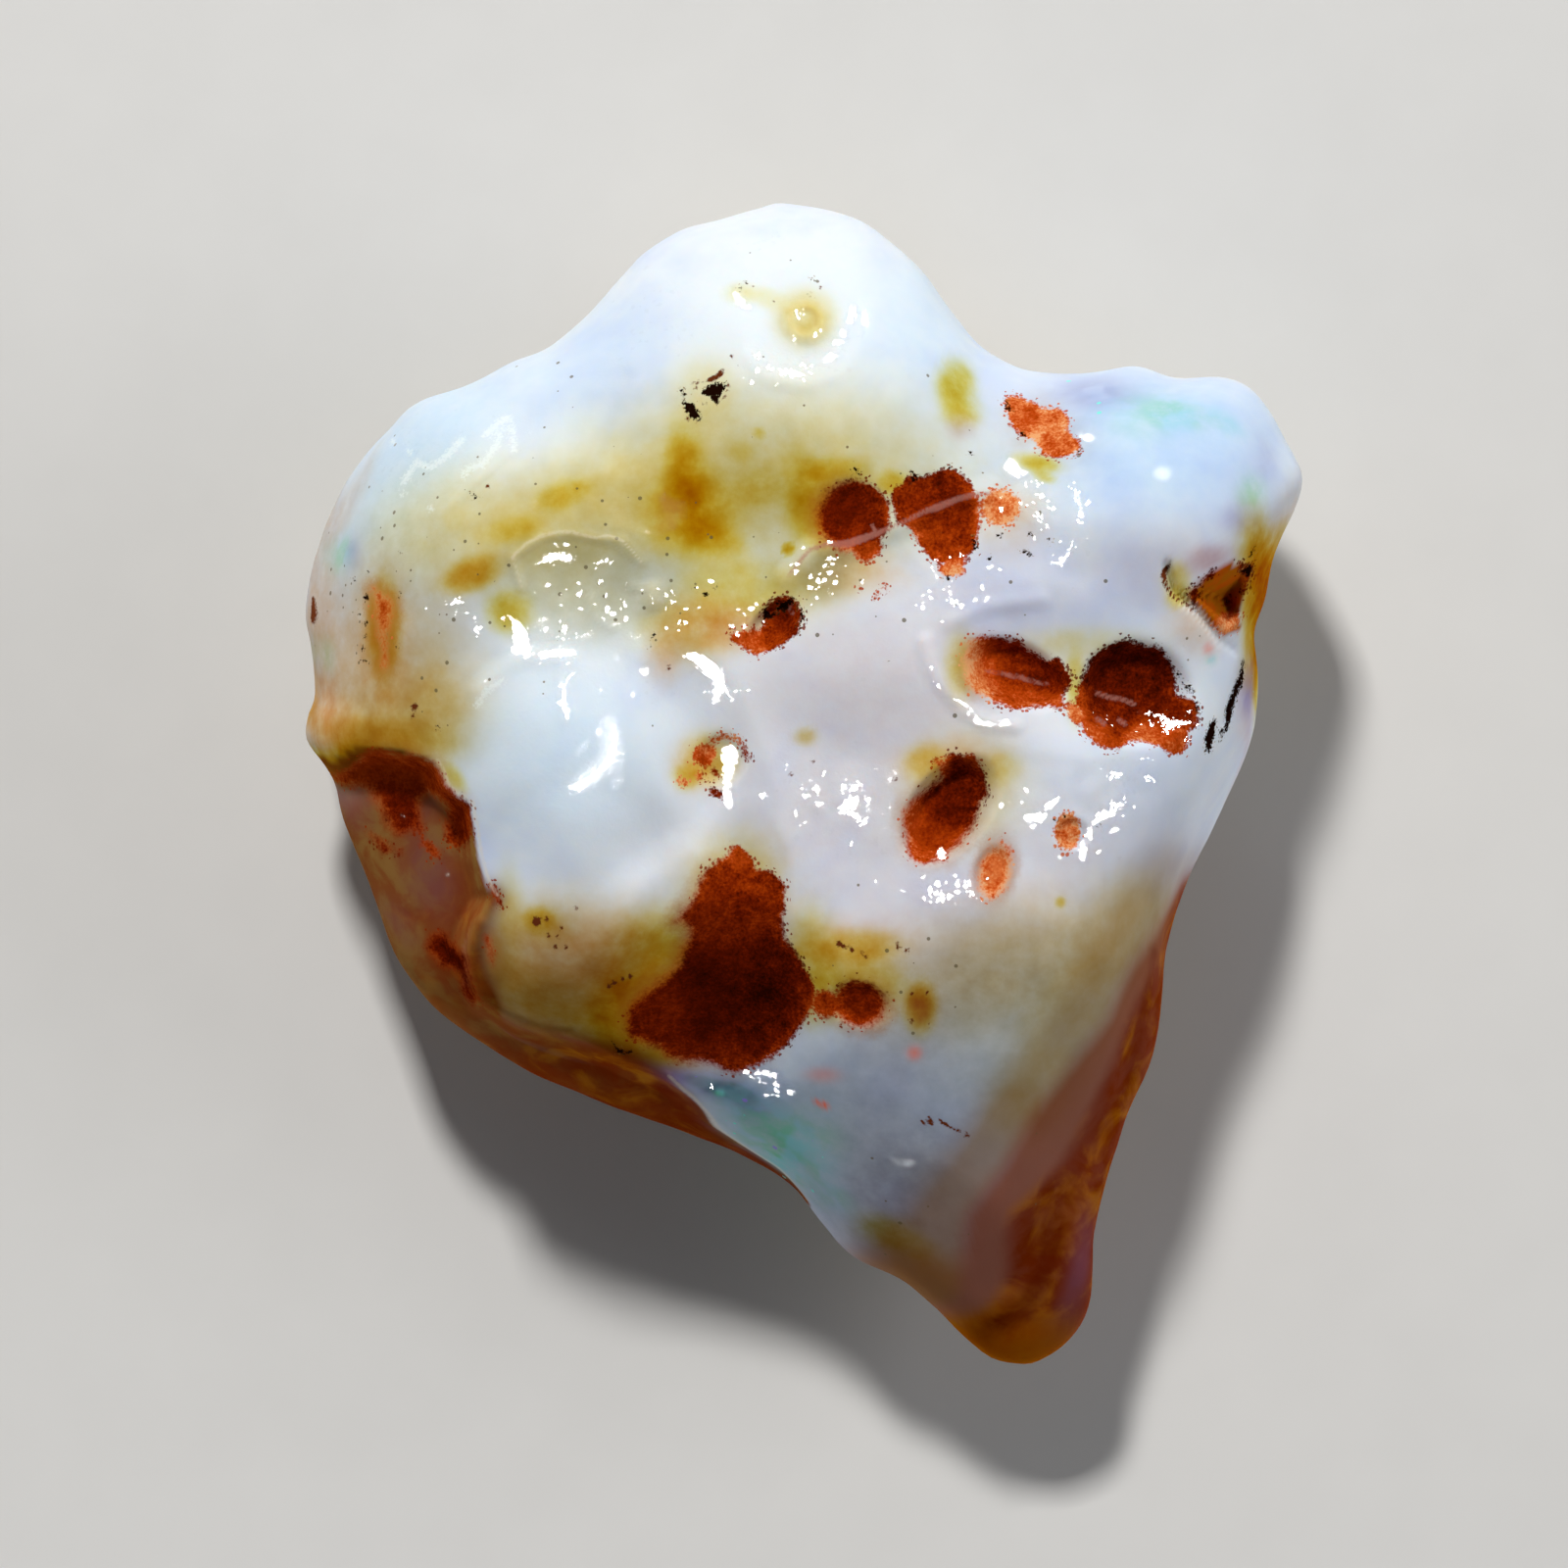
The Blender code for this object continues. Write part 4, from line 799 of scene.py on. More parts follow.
# A small oval of rust seen from above: middle, two half-widths and the turn in degrees.
Spot = namedtuple("Spot", "name x y long short turn")
RUST_SPOTS = [
    ("left twin", 1.0, 5.42, 0.78, 0.76, 20),
    ("left twin's foot", 1.28, 4.78, 0.32, 0.26, 15),
    ("beside the twins", 4.0, 5.6, 0.4, 0.38, 0),
    ("foot of the right twin", 3.0, 4.34, 0.3, 0.14, 0),
    ("drop beside the tilted pit", 3.88, -1.75, 0.62, 0.34, 76),
    ("speck", 5.35, -0.95, 0.26, 0.4, 0),
    ("between the long pits", 5.5, 1.42, 0.3, 0.14, -50),
    ("beside the gully pit", -2.0, 0.58, 0.24, 0.22, 0),
    ("on the belly", 1.15, -4.45, 0.58, 0.5, -15),
    ("joining it", 0.48, -4.45, 0.34, 0.3, 0),
    ("salmon foot of the cavity", 8.62, 3.28, 0.26, 0.2, 40),
]

RUST_TRAILS = {
    "round the gully pit": [
        [(-1.85, 0.88, 0.06), (-1.5, 0.98, 0.05), (-1.26, 0.86, 0.06), (-1.16, 0.7, 0.07),
         (-1.12, 0.5, 0.04)],
        [(-1.81, 0.26, 0.05), (-1.75, 0.14, 0.05)],
        [(-1.87, -0.14, 0.05), (-1.75, -0.2, 0.07), (-1.69, -0.26, 0.06)], (-2.1, 0.16, 0.07),
        [(-2.52, 0.06, 0.07), (-2.35, 0.04, 0.05)]],
    "left streak": [
        [(-8.7, 3.95, 0.05), (-8.6, 3.8, 0.12), (-8.48, 3.6, 0.2), (-8.5, 3.3, 0.17), (-8.52, 3.0, 0.1),
         (-8.46, 2.7, 0.05), (-8.5, 2.4, 0.08)]],
    "flank marks": [
        [(-8.75, -0.9, 0.06), (-8.55, -1.06, 0.12), (-8.45, -1.24, 0.14)], (-8.21, -1.28, 0.08),
        [(-7.7, -1.2, 0.1), (-7.5, -1.4, 0.14)],
        [(-6.43, -3.1, 0.07), (-6.36, -3.35, 0.09), (-6.3, -3.65, 0.04)],
        [(-6.33, -2.05, 0.04), (-6.22, -2.3, 0.07), (-6.12, -2.45, 0.03)]],
    "edge of the corner cavity": [
        [(8.9, 4.4, 0.1), (9.05, 4.4, 0.1), (9.03, 4.2, 0.08), (8.97, 4.0, 0.05), (8.95, 3.9, 0.07)],
        [(7.83, 3.95, 0.06), (7.92, 3.85, 0.11), (7.9, 3.72, 0.05)],
        [(8.1, 4.12, 0.04), (8.3, 4.3, 0.07)], (8.66, 3.7, 0.05), (8.85, 3.5, 0.04)],
    "trail below the twins": [
        [(1.65, 3.98, 0.04), (1.53, 3.88, 0.03), (1.45, 3.76, 0.03)], (1.27, 4.54, 0.05),
        (1.15, 3.98, 0.04)],
}

# How dark the rust is round some places: 0 is pale orange, 0.5 is red and 1 is nearly black. The pits are
# darker up their upper walls and paler at their lower walls: painted shade and painted light from the lamp
# beyond the crown, over the rust's own tones.
Tone = namedtuple("Tone", "name x y reach tone")
USUAL_TONE = 0.7
USUAL_TONE_SHARE = 0.03
RUST_TONES_AND_PIT_SHADE = [
    ("left twin", 0.95, 5.5, 0.55, 0.9),
    ("left twin, left side", 0.35, 5.3, 0.2, 0.72),
    ("left twin, right side", 1.72, 5.5, 0.14, 0.66),
    ("left twin, foot", 1.0, 4.66, 0.2, 0.42),
    ("left twin, right foot", 1.4, 4.7, 0.14, 0.45),
    ("right twin, top", 2.8, 5.95, 0.5, 0.84),
    ("right twin, left", 2.0, 5.7, 0.3, 0.76),
    ("right twin, middle", 2.9, 5.2, 0.4, 0.72),
    ("right twin, low", 2.75, 4.75, 0.3, 0.58),
    ("right twin, lower left", 2.25, 5.15, 0.2, 0.42),
    ("right twin, foot", 3.0, 4.34, 0.16, 0.12),
    ("beside the twins", 4.0, 5.6, 0.4, 0.14),
    ("wing hollow, upper left", 4.4, 7.6, 0.25, 0.28),
    ("wing hollow, heart", 4.62, 7.52, 0.1, 0.45),
    ("wing hollow, middle", 5.0, 7.3, 0.3, 0.17),
    ("wing hollow, pale strip", 4.75, 7.02, 0.14, 0.04),
    ("wing hollow, low heart", 4.95, 6.88, 0.14, 0.46),
    ("wing hollow, low right", 5.35, 6.85, 0.16, 0.2),
    ("small deep pit, upper right", -0.3, 3.4, 0.3, 0.84),
    ("small deep pit, middle", -0.6, 3.1, 0.25, 0.66),
    ("small deep pit, lower left", -1.1, 2.88, 0.25, 0.42),
    ("long pit, left edge", 3.35, 2.5, 0.25, 0.06),
    ("long pit, lower left", 3.6, 2.0, 0.25, 0.2),
    ("long pit, left", 3.8, 2.5, 0.18, 0.42),
    ("long pit, upper", 4.25, 2.55, 0.3, 0.72),
    ("long pit, right", 4.95, 2.25, 0.3, 0.86),
    ("long pit, low", 4.4, 1.75, 0.2, 0.42),
    ("long pit, lower right", 4.95, 1.65, 0.2, 0.42),
    ("between the long pits", 5.48, 1.45, 0.14, 0.3),
    ("round pit, upper", 6.6, 2.3, 0.6, 0.97),
    ("round pit, left", 5.65, 1.8, 0.12, 0.5),
    ("round pit, middle", 6.4, 1.5, 0.35, 0.78),
    ("round pit, right", 7.5, 1.7, 0.25, 0.8),
    ("round pit, lower left", 5.95, 0.98, 0.22, 0.44),
    ("round pit, low", 6.8, 0.95, 0.25, 0.3),
    ("round pit, lower right", 7.5, 0.8, 0.22, 0.36),
    ("tilted pit, heart", 3.2, -0.15, 0.5, 0.9),
    ("tilted pit, top", 3.45, 0.5, 0.14, 0.5),
    ("tilted pit, upper left", 2.8, 0.38, 0.14, 0.36),
    ("tilted pit, left rim", 2.15, -0.6, 0.22, 0.46),
    ("tilted pit, lower left", 2.25, -1.4, 0.2, 0.44),
    ("tilted pit, low", 2.9, -1.1, 0.22, 0.6),
    ("drop beside it", 3.88, -1.75, 0.5, 0.22),
    ("speck", 5.35, -0.95, 0.4, 0.18),
    ("gully pit", -1.95, 0.68, 0.2, 0.26),
    ("gully pit, core", -2.06, 0.45, 0.07, 0.7),
    ("gully pit, low dots", -1.78, 0.0, 0.22, 0.75),
    ("gully pit, top", -1.5, 0.95, 0.16, 0.14),
    ("gully pit, right", -1.15, 0.7, 0.1, 0.7),
    ("gully pit, tan", -2.4, 0.1, 0.22, 0.12),
    ("great stain, apex", -1.35, -1.5, 0.2, 0.55),
    ("great stain, right of it", -1.0, -2.0, 0.18, 0.62),
    ("great stain, neck", -1.5, -2.6, 0.5, 0.76),
    ("great stain, middle", -1.3, -4.2, 0.7, 1.04),
    ("great stain, darkest", -0.8, -4.3, 0.2, 1.2),
    ("great stain, left", -3.0, -4.8, 0.4, 0.84),
    ("great stain, foot", -1.6, -5.5, 0.3, 0.8),
    ("on the belly", 1.15, -4.45, 0.35, 0.66),
    ("joining it", 0.45, -4.45, 0.22, 0.62),
    ("right of the belly", 2.38, -4.5, 0.5, 0.85),
    ("thin marks", 1.4, -3.35, 0.8, 0.95),
    ("thin streak", 2.5, -6.85, 0.2, 0.95),
    ("thin streak, right", 3.1, -7.0, 0.3, 0.6),
    ("left streak", -8.5, 3.3, 0.8, 0.42),
    ("left streak, core", -8.48, 3.6, 0.1, 0.55),
    ("left edge", -9.85, 3.4, 0.3, 0.45),
    ("orange dots", -7.9, 1.45, 0.3, 0.3),
    ("dots on the lobe", -5.2, -2.9, 0.4, 0.55),
    ("left of the great stain", -3.7, -4.0, 0.3, 0.7),
    ("flank", -8.0, 0.3, 0.5, 0.62),
    ("flank, by the edge", -6.95, -0.7, 0.3, 0.74),
    ("flank, left end", -9.0, 0.35, 0.2, 0.55),
    ("flank, middle", -8.1, -0.6, 0.35, 0.9),
    ("flank marks", -8.5, -1.1, 0.3, 0.9),
    ("flank, orange", -7.6, -1.3, 0.2, 0.66),
    ("flank, low", -7.1, -3.6, 0.5, 0.95),
    ("flank, low olive", -7.4, -3.5, 0.15, 0.9),
    ("right of the ledge", -6.35, -3.4, 0.25, 0.6),
    ("corner cavity", 8.5, 4.0, 0.5, 0.9),
    ("corner cavity, salmon", 8.62, 3.28, 0.3, 0.12),
    ("below the twins", 1.4, 4.0, 0.4, 0.5),
]

# Where the edge of the rust is soft and amber instead of ragged and dotted.
SOFT_EDGES = [
    ("great stain", -2.5, -4.0, 1.7, 2.2, 0, 0.9),
    ("left twin", 0.5, 5.5, 0.8, 0.9, 0, 0.8),
    ("tilted pit", 2.6, -0.7, 1.0, 1.0, 0, 0.6),
    ("long pit, left", 3.4, 2.3, 0.5, 0.8, 0, 0.55),
    ("on the belly", 1.2, -4.4, 1.0, 0.9, 0, 0.3),
    ("flank", -8.4, -0.2, 1.4, 1.4, 0, 0.8),
    ("flank, low", -7.1, -3.6, 1.2, 1.2, 0, 0.8),
    ("drop", 3.88, -1.75, 0.7, 0.7, 0, 0.7),
    ("left streak", -8.6, 3.2, 0.8, 1.4, 0, 1.0),
    ("left edge", -9.85, 3.4, 0.4, 0.8, 0, 1.0),
    ("thin marks", 2.4, -5.6, 1.6, 1.8, 0, 0.5),
    ("low cheek", -7.9, 1.4, 0.8, 0.5, 0, 1.0),
]

# The back's own rust, and how fast the face's rust ends on the way round the outline.
BACK_RUST = [
    ("pit", -1.8, 6.6, 0.8, 0.6, 15),
    ("second pit", 6.6, -1.8, 0.8, 0.5, -40),
    ("small", -4.2, 4.8, 0.4, 0.3, 0),
    ("streak", 3.4, 3.6, 1.1, 0.22, 35),
    ("low", 2.0, -6.4, 0.5, 0.35, 0),
]
WRAP = 12.0  # millimetres that a marking shrinks for each whole share inwards on the back
SIDE_TOP, SIDE_DEEPEST = 6.2, 4.5  # where the wander of the markings starts, and how far it grows
SIDE_WANDER, SIDE_WAVELENGTH = 0.42, 2.1


def inside_patches(x, y, patches):
    """How many millimetres each place lies inside the nearest closed outline."""
    inside = np.full_like(x, -FAR)
    for corners in patches.values():
        curve = [tuple(point) for point in closed_curve(corners, steps=3)]
        across, up = np.array(corners).T
        near = (x > across.min() - FAR) & (x < across.max() + FAR)
        near &= (y > up.min() - FAR) & (y < up.max() + FAR)
        away = distance_to_line(x[near], y[near], curve + curve[:1])
        within = is_within(x[near], y[near], curve)
        inside[near] = np.maximum(inside[near], np.where(within, away, -away))
    return inside


def inside_spots(x, y, spots):
    """How many millimetres each place lies inside the nearest oval."""
    inside = np.full_like(x, -FAR)
    for spot in [Spot(*row) for row in spots]:
        reach_in = (1.0 - ellipse_distance(x, y, spot)) * np.sqrt(spot.long * spot.short)
        inside = np.maximum(inside, reach_in)
    return inside


def rust_tone_and_pit_shade(x, y):
    """How dark the rust is, with the pits' painted shade, as a mean of the tones round each place."""
    total = np.full_like(x, USUAL_TONE * USUAL_TONE_SHARE)
    weight = np.full_like(x, USUAL_TONE_SHARE)
    for spot in [Tone(*row) for row in RUST_TONES_AND_PIT_SHADE]:
        near = np.exp(-((x - spot.x) ** 2 + (y - spot.y) ** 2) / spot.reach**2)
        total += spot.tone * near
        weight += near
    return total / weight


def marking_field(name, face, back):
    """The face's markings reach a little way round the outline, and the back has its own."""
    keep_field(name, np.where(on_face, face, np.maximum(face - WRAP * (1.0 - share), back)))


# On the steep sides the markings wander, so that no edge runs straight down the stone.
side_drop = np.clip(SIDE_TOP - z, 0.0, SIDE_DEEPEST) * SIDE_WANDER
x = x + side_drop * chance_waves(x, y, z, SIDE_WAVELENGTH)
y = y + side_drop * chance_waves(y, z, x, SIDE_WAVELENGTH)

rust = np.maximum(inside_patches(x, y, RUST_PATCHES), inside_spots(x, y, RUST_SPOTS))
rust = np.maximum(rust, inside_trails(x, y, RUST_TRAILS))
soft_edge = np.minimum(clouds(x, y, SOFT_EDGES), 1.0)
marking_field("rust", rust, inside_spots(x, y, BACK_RUST))
soft_field("rust tone and pit shade", rust_tone_and_pit_shade(x, y), USUAL_TONE)
soft_field("soft edge", soft_edge, 0.3)


# The soot-black specks and the open cracks
# Black and brown grains of ironstone still sit in small clumps on the milk. The open cracks are painted
# black, and the black up the small deep pit's upper right wall is partly painted shadow.

SOOT_AND_SHADOW_TRAILS = {
    "upper clump": [
        [(-1.97, 7.96, 0.088), (-1.79, 7.98, 0.15), (-1.73, 7.96, 0.1)],
        [(-1.79, 7.84, 0.1), (-1.75, 7.74, 0.037)], [(-1.66, 8.02, 0.075), (-1.6, 8.1, 0.05)]],
    "lower clump": [
        [(-2.43, 7.74, 0.05), (-2.31, 7.62, 0.1), (-2.19, 7.48, 0.1), (-2.11, 7.4, 0.062)],
        [(-2.45, 7.98, 0.05), (-2.41, 7.9, 0.062)]],
    "crown specks": [
        (-1.31, 10.06, 0.045), (-1.19, 10.18, 0.03), (0.19, 10.26, 0.045), (0.13, 9.96, 0.03)],
    "left shoulder": [
        (-6.61, 5.82, 0.06), (-6.7, 5.9, 0.03)],
    # The black up this pit's upper right wall is partly painted shadow.
    "small deep pit": [
        [(-0.55, 3.66, 0.04), (-0.42, 3.6, 0.1), (-0.34, 3.64, 0.08), (-0.2, 3.76, 0.03)],
        [(-0.1, 3.6, 0.03), (-0.03, 3.36, 0.03), (-0.09, 3.12, 0.03)],
        [(-0.74, 3.54, 0.05), (-0.78, 3.38, 0.05), (-0.6, 3.42, 0.06)]],
    "corner crack": [
        [(9.07, 4.7, 0.04), (9.19, 4.82, 0.04)],
        [(8.92, 4.36, 0.06), (9.05, 4.38, 0.07), (9.03, 4.22, 0.05)]],
    "crack on the edge": [
        [(8.95, 2.5, 0.03), (8.9, 2.15, 0.06), (8.79, 1.84, 0.075), (8.67, 1.56, 0.08),
         (8.64, 1.3, 0.06), (8.6, 1.1, 0.04)],
        [(8.3, 1.24, 0.07), (8.23, 0.95, 0.11), (8.21, 0.72, 0.07)], (8.49, 1.04, 0.06),
        (8.47, 0.9, 0.03), (8.4, 1.2, 0.03)],
    "round pit's dotted rim": [
        (7.61, 2.24, 0.05), (7.7, 2.1, 0.03), [(7.8, 1.98, 0.04), (7.9, 1.86, 0.04)],
        [(7.96, 1.68, 0.03), (8.0, 1.5, 0.035)]],
    "hair": [
        [(-3.87, -5.2, 0.02), (-3.83, -5.32, 0.025), (-3.73, -5.4, 0.03), (-3.59, -5.44, 0.03),
         (-3.51, -5.42, 0.02)]],
    "edges of the twins": [
        [(2.2, 6.3, 0.04), (2.28, 6.2, 0.05), (2.24, 6.14, 0.04)], (2.98, 6.42, 0.05),
        [(3.45, 5.0, 0.04), (3.49, 4.78, 0.05)], (0.93, 6.44, 0.03), (1.05, 6.34, 0.04),
        (1.17, 6.3, 0.035), (1.05, 6.5, 0.03)],
    "by the wing hollow": [
        [(4.11, 7.82, 0.03), (4.15, 7.66, 0.04), (4.21, 7.58, 0.03)],
        [(4.4, 7.14, 0.03), (4.48, 7.08, 0.03)], [(5.6, 6.78, 0.035), (5.5, 6.7, 0.03)]],
    "loose specks": [
        (3.39, 6.7, 0.04), (3.77, 4.56, 0.035), (3.97, 5.02, 0.05), (4.99, 4.92, 0.05),
        (4.45, 4.72, 0.04), (4.57, 4.66, 0.05), (4.61, 5.06, 0.05), (2.91, 4.18, 0.05),
        (5.29, -0.66, 0.05), (5.11, -0.72, 0.04), (5.99, -0.86, 0.04), (-1.99, 3.84, 0.05),
        (-2.19, 3.94, 0.035), (-1.77, 4.0, 0.035), (-7.4, 1.14, 0.05), (-3.03, 3.0, 0.035),
        (-3.08, 2.76, 0.035)],
    "left streak": [
        (-8.87, 3.78, 0.06), (-8.99, 3.48, 0.04), (-8.85, 3.26, 0.05), (-8.91, 2.98, 0.04),
        (-8.93, 2.74, 0.045), [(-8.99, 2.5, 0.03), (-8.83, 2.44, 0.03)], (-8.17, 3.84, 0.045),
        (-9.13, 4.14, 0.04), (-8.83, 4.28, 0.04), (-8.17, 4.72, 0.04), (-8.23, 2.78, 0.04)],
}

# The brown grains round the black clumps, the thin brown marks and the brown hook by the cavity.
BROWN_TRAILS = {
    "thin marks on the belly": [
        (0.72, -3.24, 0.065), (0.84, -3.28, 0.05), (0.98, -3.35, 0.055), (1.22, -3.42, 0.05),
        (1.28, -3.48, 0.045), (1.88, -3.22, 0.05), (1.94, -3.34, 0.05), (2.1, -3.38, 0.065),
        (2.42, -6.84, 0.05), [(2.55, -6.8, 0.06), (2.58, -6.9, 0.055)], (2.75, -6.84, 0.05),
        (2.88, -6.9, 0.055), (3.02, -6.95, 0.045), (3.15, -7.03, 0.05), (3.32, -7.13, 0.055)],
    "right of the belly": [
        (2.18, -4.8, 0.06), (2.2, -4.25, 0.05), (2.5, -4.22, 0.05), (2.56, -4.88, 0.045)],
    "dots": [
        (-7.89, 1.56, 0.08), (-7.93, 1.34, 0.05), (-2.72, 2.36, 0.06), (-5.4, -2.78, 0.1),
        (-5.2, -2.72, 0.05), (-5.16, -3.06, 0.05), (-5.02, -3.3, 0.05), (-4.9, -2.9, 0.045),
        (-4.96, -3.1, 0.045), (-4.8, -3.3, 0.045), (-4.6, -2.5, 0.045), (0.19, 0.46, 0.05),
        (-0.25, 0.2, 0.05), (1.85, 0.1, 0.05),
        [(-9.83, 3.6, 0.055), (-9.83, 3.4, 0.07), (-9.87, 3.2, 0.055)], (-3.93, -4.1, 0.05),
        (-3.83, -4.03, 0.055), (-3.66, -3.95, 0.045), (-3.5, -3.9, 0.05)],
    "above the clump": [
        [(-1.91, 8.18, 0.055), (-1.81, 8.22, 0.06), (-1.73, 8.26, 0.055), (-1.65, 8.36, 0.055)],
        (-1.43, 8.68, 0.05), (-2.23, 8.12, 0.045), (-2.15, 8.16, 0.045), (-1.55, 7.98, 0.045),
        (-1.51, 8.08, 0.045), (-1.61, 7.84, 0.045), (-2.19, 8.02, 0.045), (-2.33, 7.4, 0.05),
        (-2.0, 7.7, 0.045)],
    "shoulder": [
        (-6.4, 6.02, 0.045)],
    "hook by the cavity": [
        [(7.42, 4.4, 0.045), (7.32, 4.36, 0.055), (7.28, 4.2, 0.055), (7.33, 4.04, 0.05),
         (7.41, 3.88, 0.045), (7.55, 3.74, 0.045), (7.75, 3.64, 0.045), (7.9, 3.52, 0.045)]],
    "crown dish": [
        (0.35, 10.1, 0.03), (0.28, 9.9, 0.03), (-0.6, 9.8, 0.03), (-1.0, 10.1, 0.03)],
}

# Tiny dark specks of dirt, more of them where these clouds are.
DARK_SPECKS = [
    ("left and middle", -4.6, 5.0, 4.6, 2.6, 0, 1.0),
    ("cheek", -8.4, 3.6, 1.6, 2.4, 0, 0.9),
    ("round the twins", 2.2, 6.0, 3.0, 1.8, 0, 0.8),
    ("round the dish", -1.0, 9.4, 1.4, 1.4, 0, 0.5),
    ("middle", 1.4, 3.2, 2.2, 1.0, 20, 0.6),
    ("belly", 1.0, -3.6, 2.6, 1.4, 0, 0.4),
    ("low belly", 3.0, -8.4, 2.0, 1.8, 0, 0.3),
    ("round the long pits", 5.4, 2.6, 2.6, 1.4, 0, 0.5),
]

marking_field("soot", inside_trails(x, y, SOOT_AND_SHADOW_TRAILS), -FAR)
marking_field("brown grains", inside_trails(x, y, BROWN_TRAILS), -FAR)
soft_field("specks", np.minimum(clouds(x, y, DARK_SPECKS), 1.0), 0.3)


# The pale seams
# Seams of clear hard opal run over the rust and look pale. Along the sharp edges and the scoop's rim a
# pale line is painted highlight where the edge catches the lamp, and the fine wrinkles carry painted
# highlights too.

# The seams that run over the rust, and folds and flecks like them in the pits.
CREST_LINE = {
    "crest over the twins": [
        [(-0.3, 4.2, 0.03), (0.1, 4.72, 0.04), (0.45, 4.84, 0.05), (0.9, 4.86, 0.08), (1.3, 5.0, 0.07),
         (1.71, 5.16, 0.05), (2.11, 5.34, 0.045), (2.41, 5.5, 0.05), (2.71, 5.6, 0.07),
         (3.11, 5.76, 0.06), (3.45, 5.86, 0.05), (3.8, 5.88, 0.03)],
        [(1.39, 5.24, 0.03), (1.48, 5.1, 0.03)]],
    "streak in the long pit": [
        [(3.71, 2.3, 0.03), (4.1, 2.22, 0.045), (4.4, 2.16, 0.05), (4.7, 2.06, 0.04), (4.95, 2.02, 0.03)]],
    "wet folds in the round pit": [
        [(5.95, 1.84, 0.05), (6.2, 1.76, 0.05), (6.45, 1.72, 0.05), (6.7, 1.62, 0.05)],
        [(5.95, 1.32, 0.05), (6.1, 1.22, 0.05)], [(6.4, 1.3, 0.05), (6.52, 1.22, 0.05)]],
    "flecks in the small deep pit": [
        [(-0.25, 3.68, 0.035), (-0.28, 3.5, 0.035), (-0.18, 3.42, 0.03)], (-0.86, 3.42, 0.04),
        (-0.9, 3.26, 0.035), (-0.77, 3.48, 0.045), (-0.75, 3.36, 0.045), (-1.13, 3.36, 0.03),
        (-1.1, 3.22, 0.035)],
}
# Painted highlights along the sharp edges, where they catch the lamp.
RIM_HIGHLIGHT_LINE = {
    "rim of the scoop": [
        [(-5.7, 4.0, 0.025), (-5.89, 4.6, 0.03), (-5.59, 4.88, 0.035), (-5.29, 5.02, 0.035),
         (-4.99, 5.1, 0.035), (-4.69, 5.1, 0.035), (-4.39, 5.02, 0.03), (-4.15, 4.98, 0.03),
         (-3.95, 5.04, 0.03), (-3.69, 4.94, 0.03), (-3.49, 4.76, 0.03), (-3.29, 4.5, 0.03)]],
    "front broken edge": [
        [(-2.73, -5.94, 0.03), (-2.39, -6.26, 0.035), (-2.23, -6.38, 0.035), (-2.07, -6.56, 0.035),
         (-1.83, -6.78, 0.035), (-1.49, -7.02, 0.04), (-1.19, -7.28, 0.04), (-0.79, -7.6, 0.04),
         (-0.63, -7.68, 0.04), (-0.33, -8.04, 0.04), (0.05, -8.42, 0.04), (0.21, -8.62, 0.03)]],
    "upper broken edge": [
        [(-7.45, 0.54, 0.025), (-7.31, 0.34, 0.03), (-7.19, 0.0, 0.03), (-6.99, -0.2, 0.03),
         (-6.67, -0.38, 0.035), (-6.65, -0.64, 0.035), (-6.59, -0.9, 0.03), (-6.55, -1.2, 0.03),
         (-6.5, -1.5, 0.03), (-6.42, -1.8, 0.03), (-6.34, -2.06, 0.03), (-6.2, -2.26, 0.025)]],
}

# Painted highlights on fine wrinkles that catch the light.
WRINKLE_HIGHLIGHTS = {
    "left shoulder": [
        [(-8.15, 6.11, 0.06), (-7.97, 6.36, 0.06), (-7.87, 6.54, 0.06), (-7.55, 6.42, 0.06),
         (-7.24, 6.66, 0.06), (-6.94, 6.99, 0.06)],
        [(-6.45, 7.08, 0.06), (-6.21, 7.32, 0.06), (-5.97, 7.44, 0.06), (-5.91, 7.2, 0.06),
         (-5.87, 6.8, 0.06)],
        [(-6.15, 7.2, 0.06), (-6.21, 6.9, 0.06), (-6.51, 6.48, 0.06), (-6.85, 6.38, 0.06),
         (-6.87, 6.24, 0.06)],
        (-8.33, 6.94, 0.06), (-8.0, 6.76, 0.06), (-8.13, 5.9, 0.06), (-7.55, 5.58, 0.06)],
    "below the scoop": [
        [(-6.1, 2.1, 0.06), (-6.4, 1.9, 0.06), (-6.6, 1.6, 0.06)]],
}

marking_field("wrinkle", inside_trails(x, y, WRINKLE_HIGHLIGHTS), -FAR)
marking_field("crest line", inside_trails(x, y, CREST_LINE), -FAR)
marking_field("rim highlight line", inside_trails(x, y, RIM_HIGHLIGHT_LINE), -FAR)


# The soft stains in the milk
# Iron seeped into the milk: where it is thin the opal is straw yellow, then ochre, then amber. Peach,
# lilac and clear grey opal show beside it. The clear grey is also painted shade, darker towards the tip.

# A soft band that follows a line: half-width, depth of stain and the line.
Band = namedtuple("Band", "name width depth points")

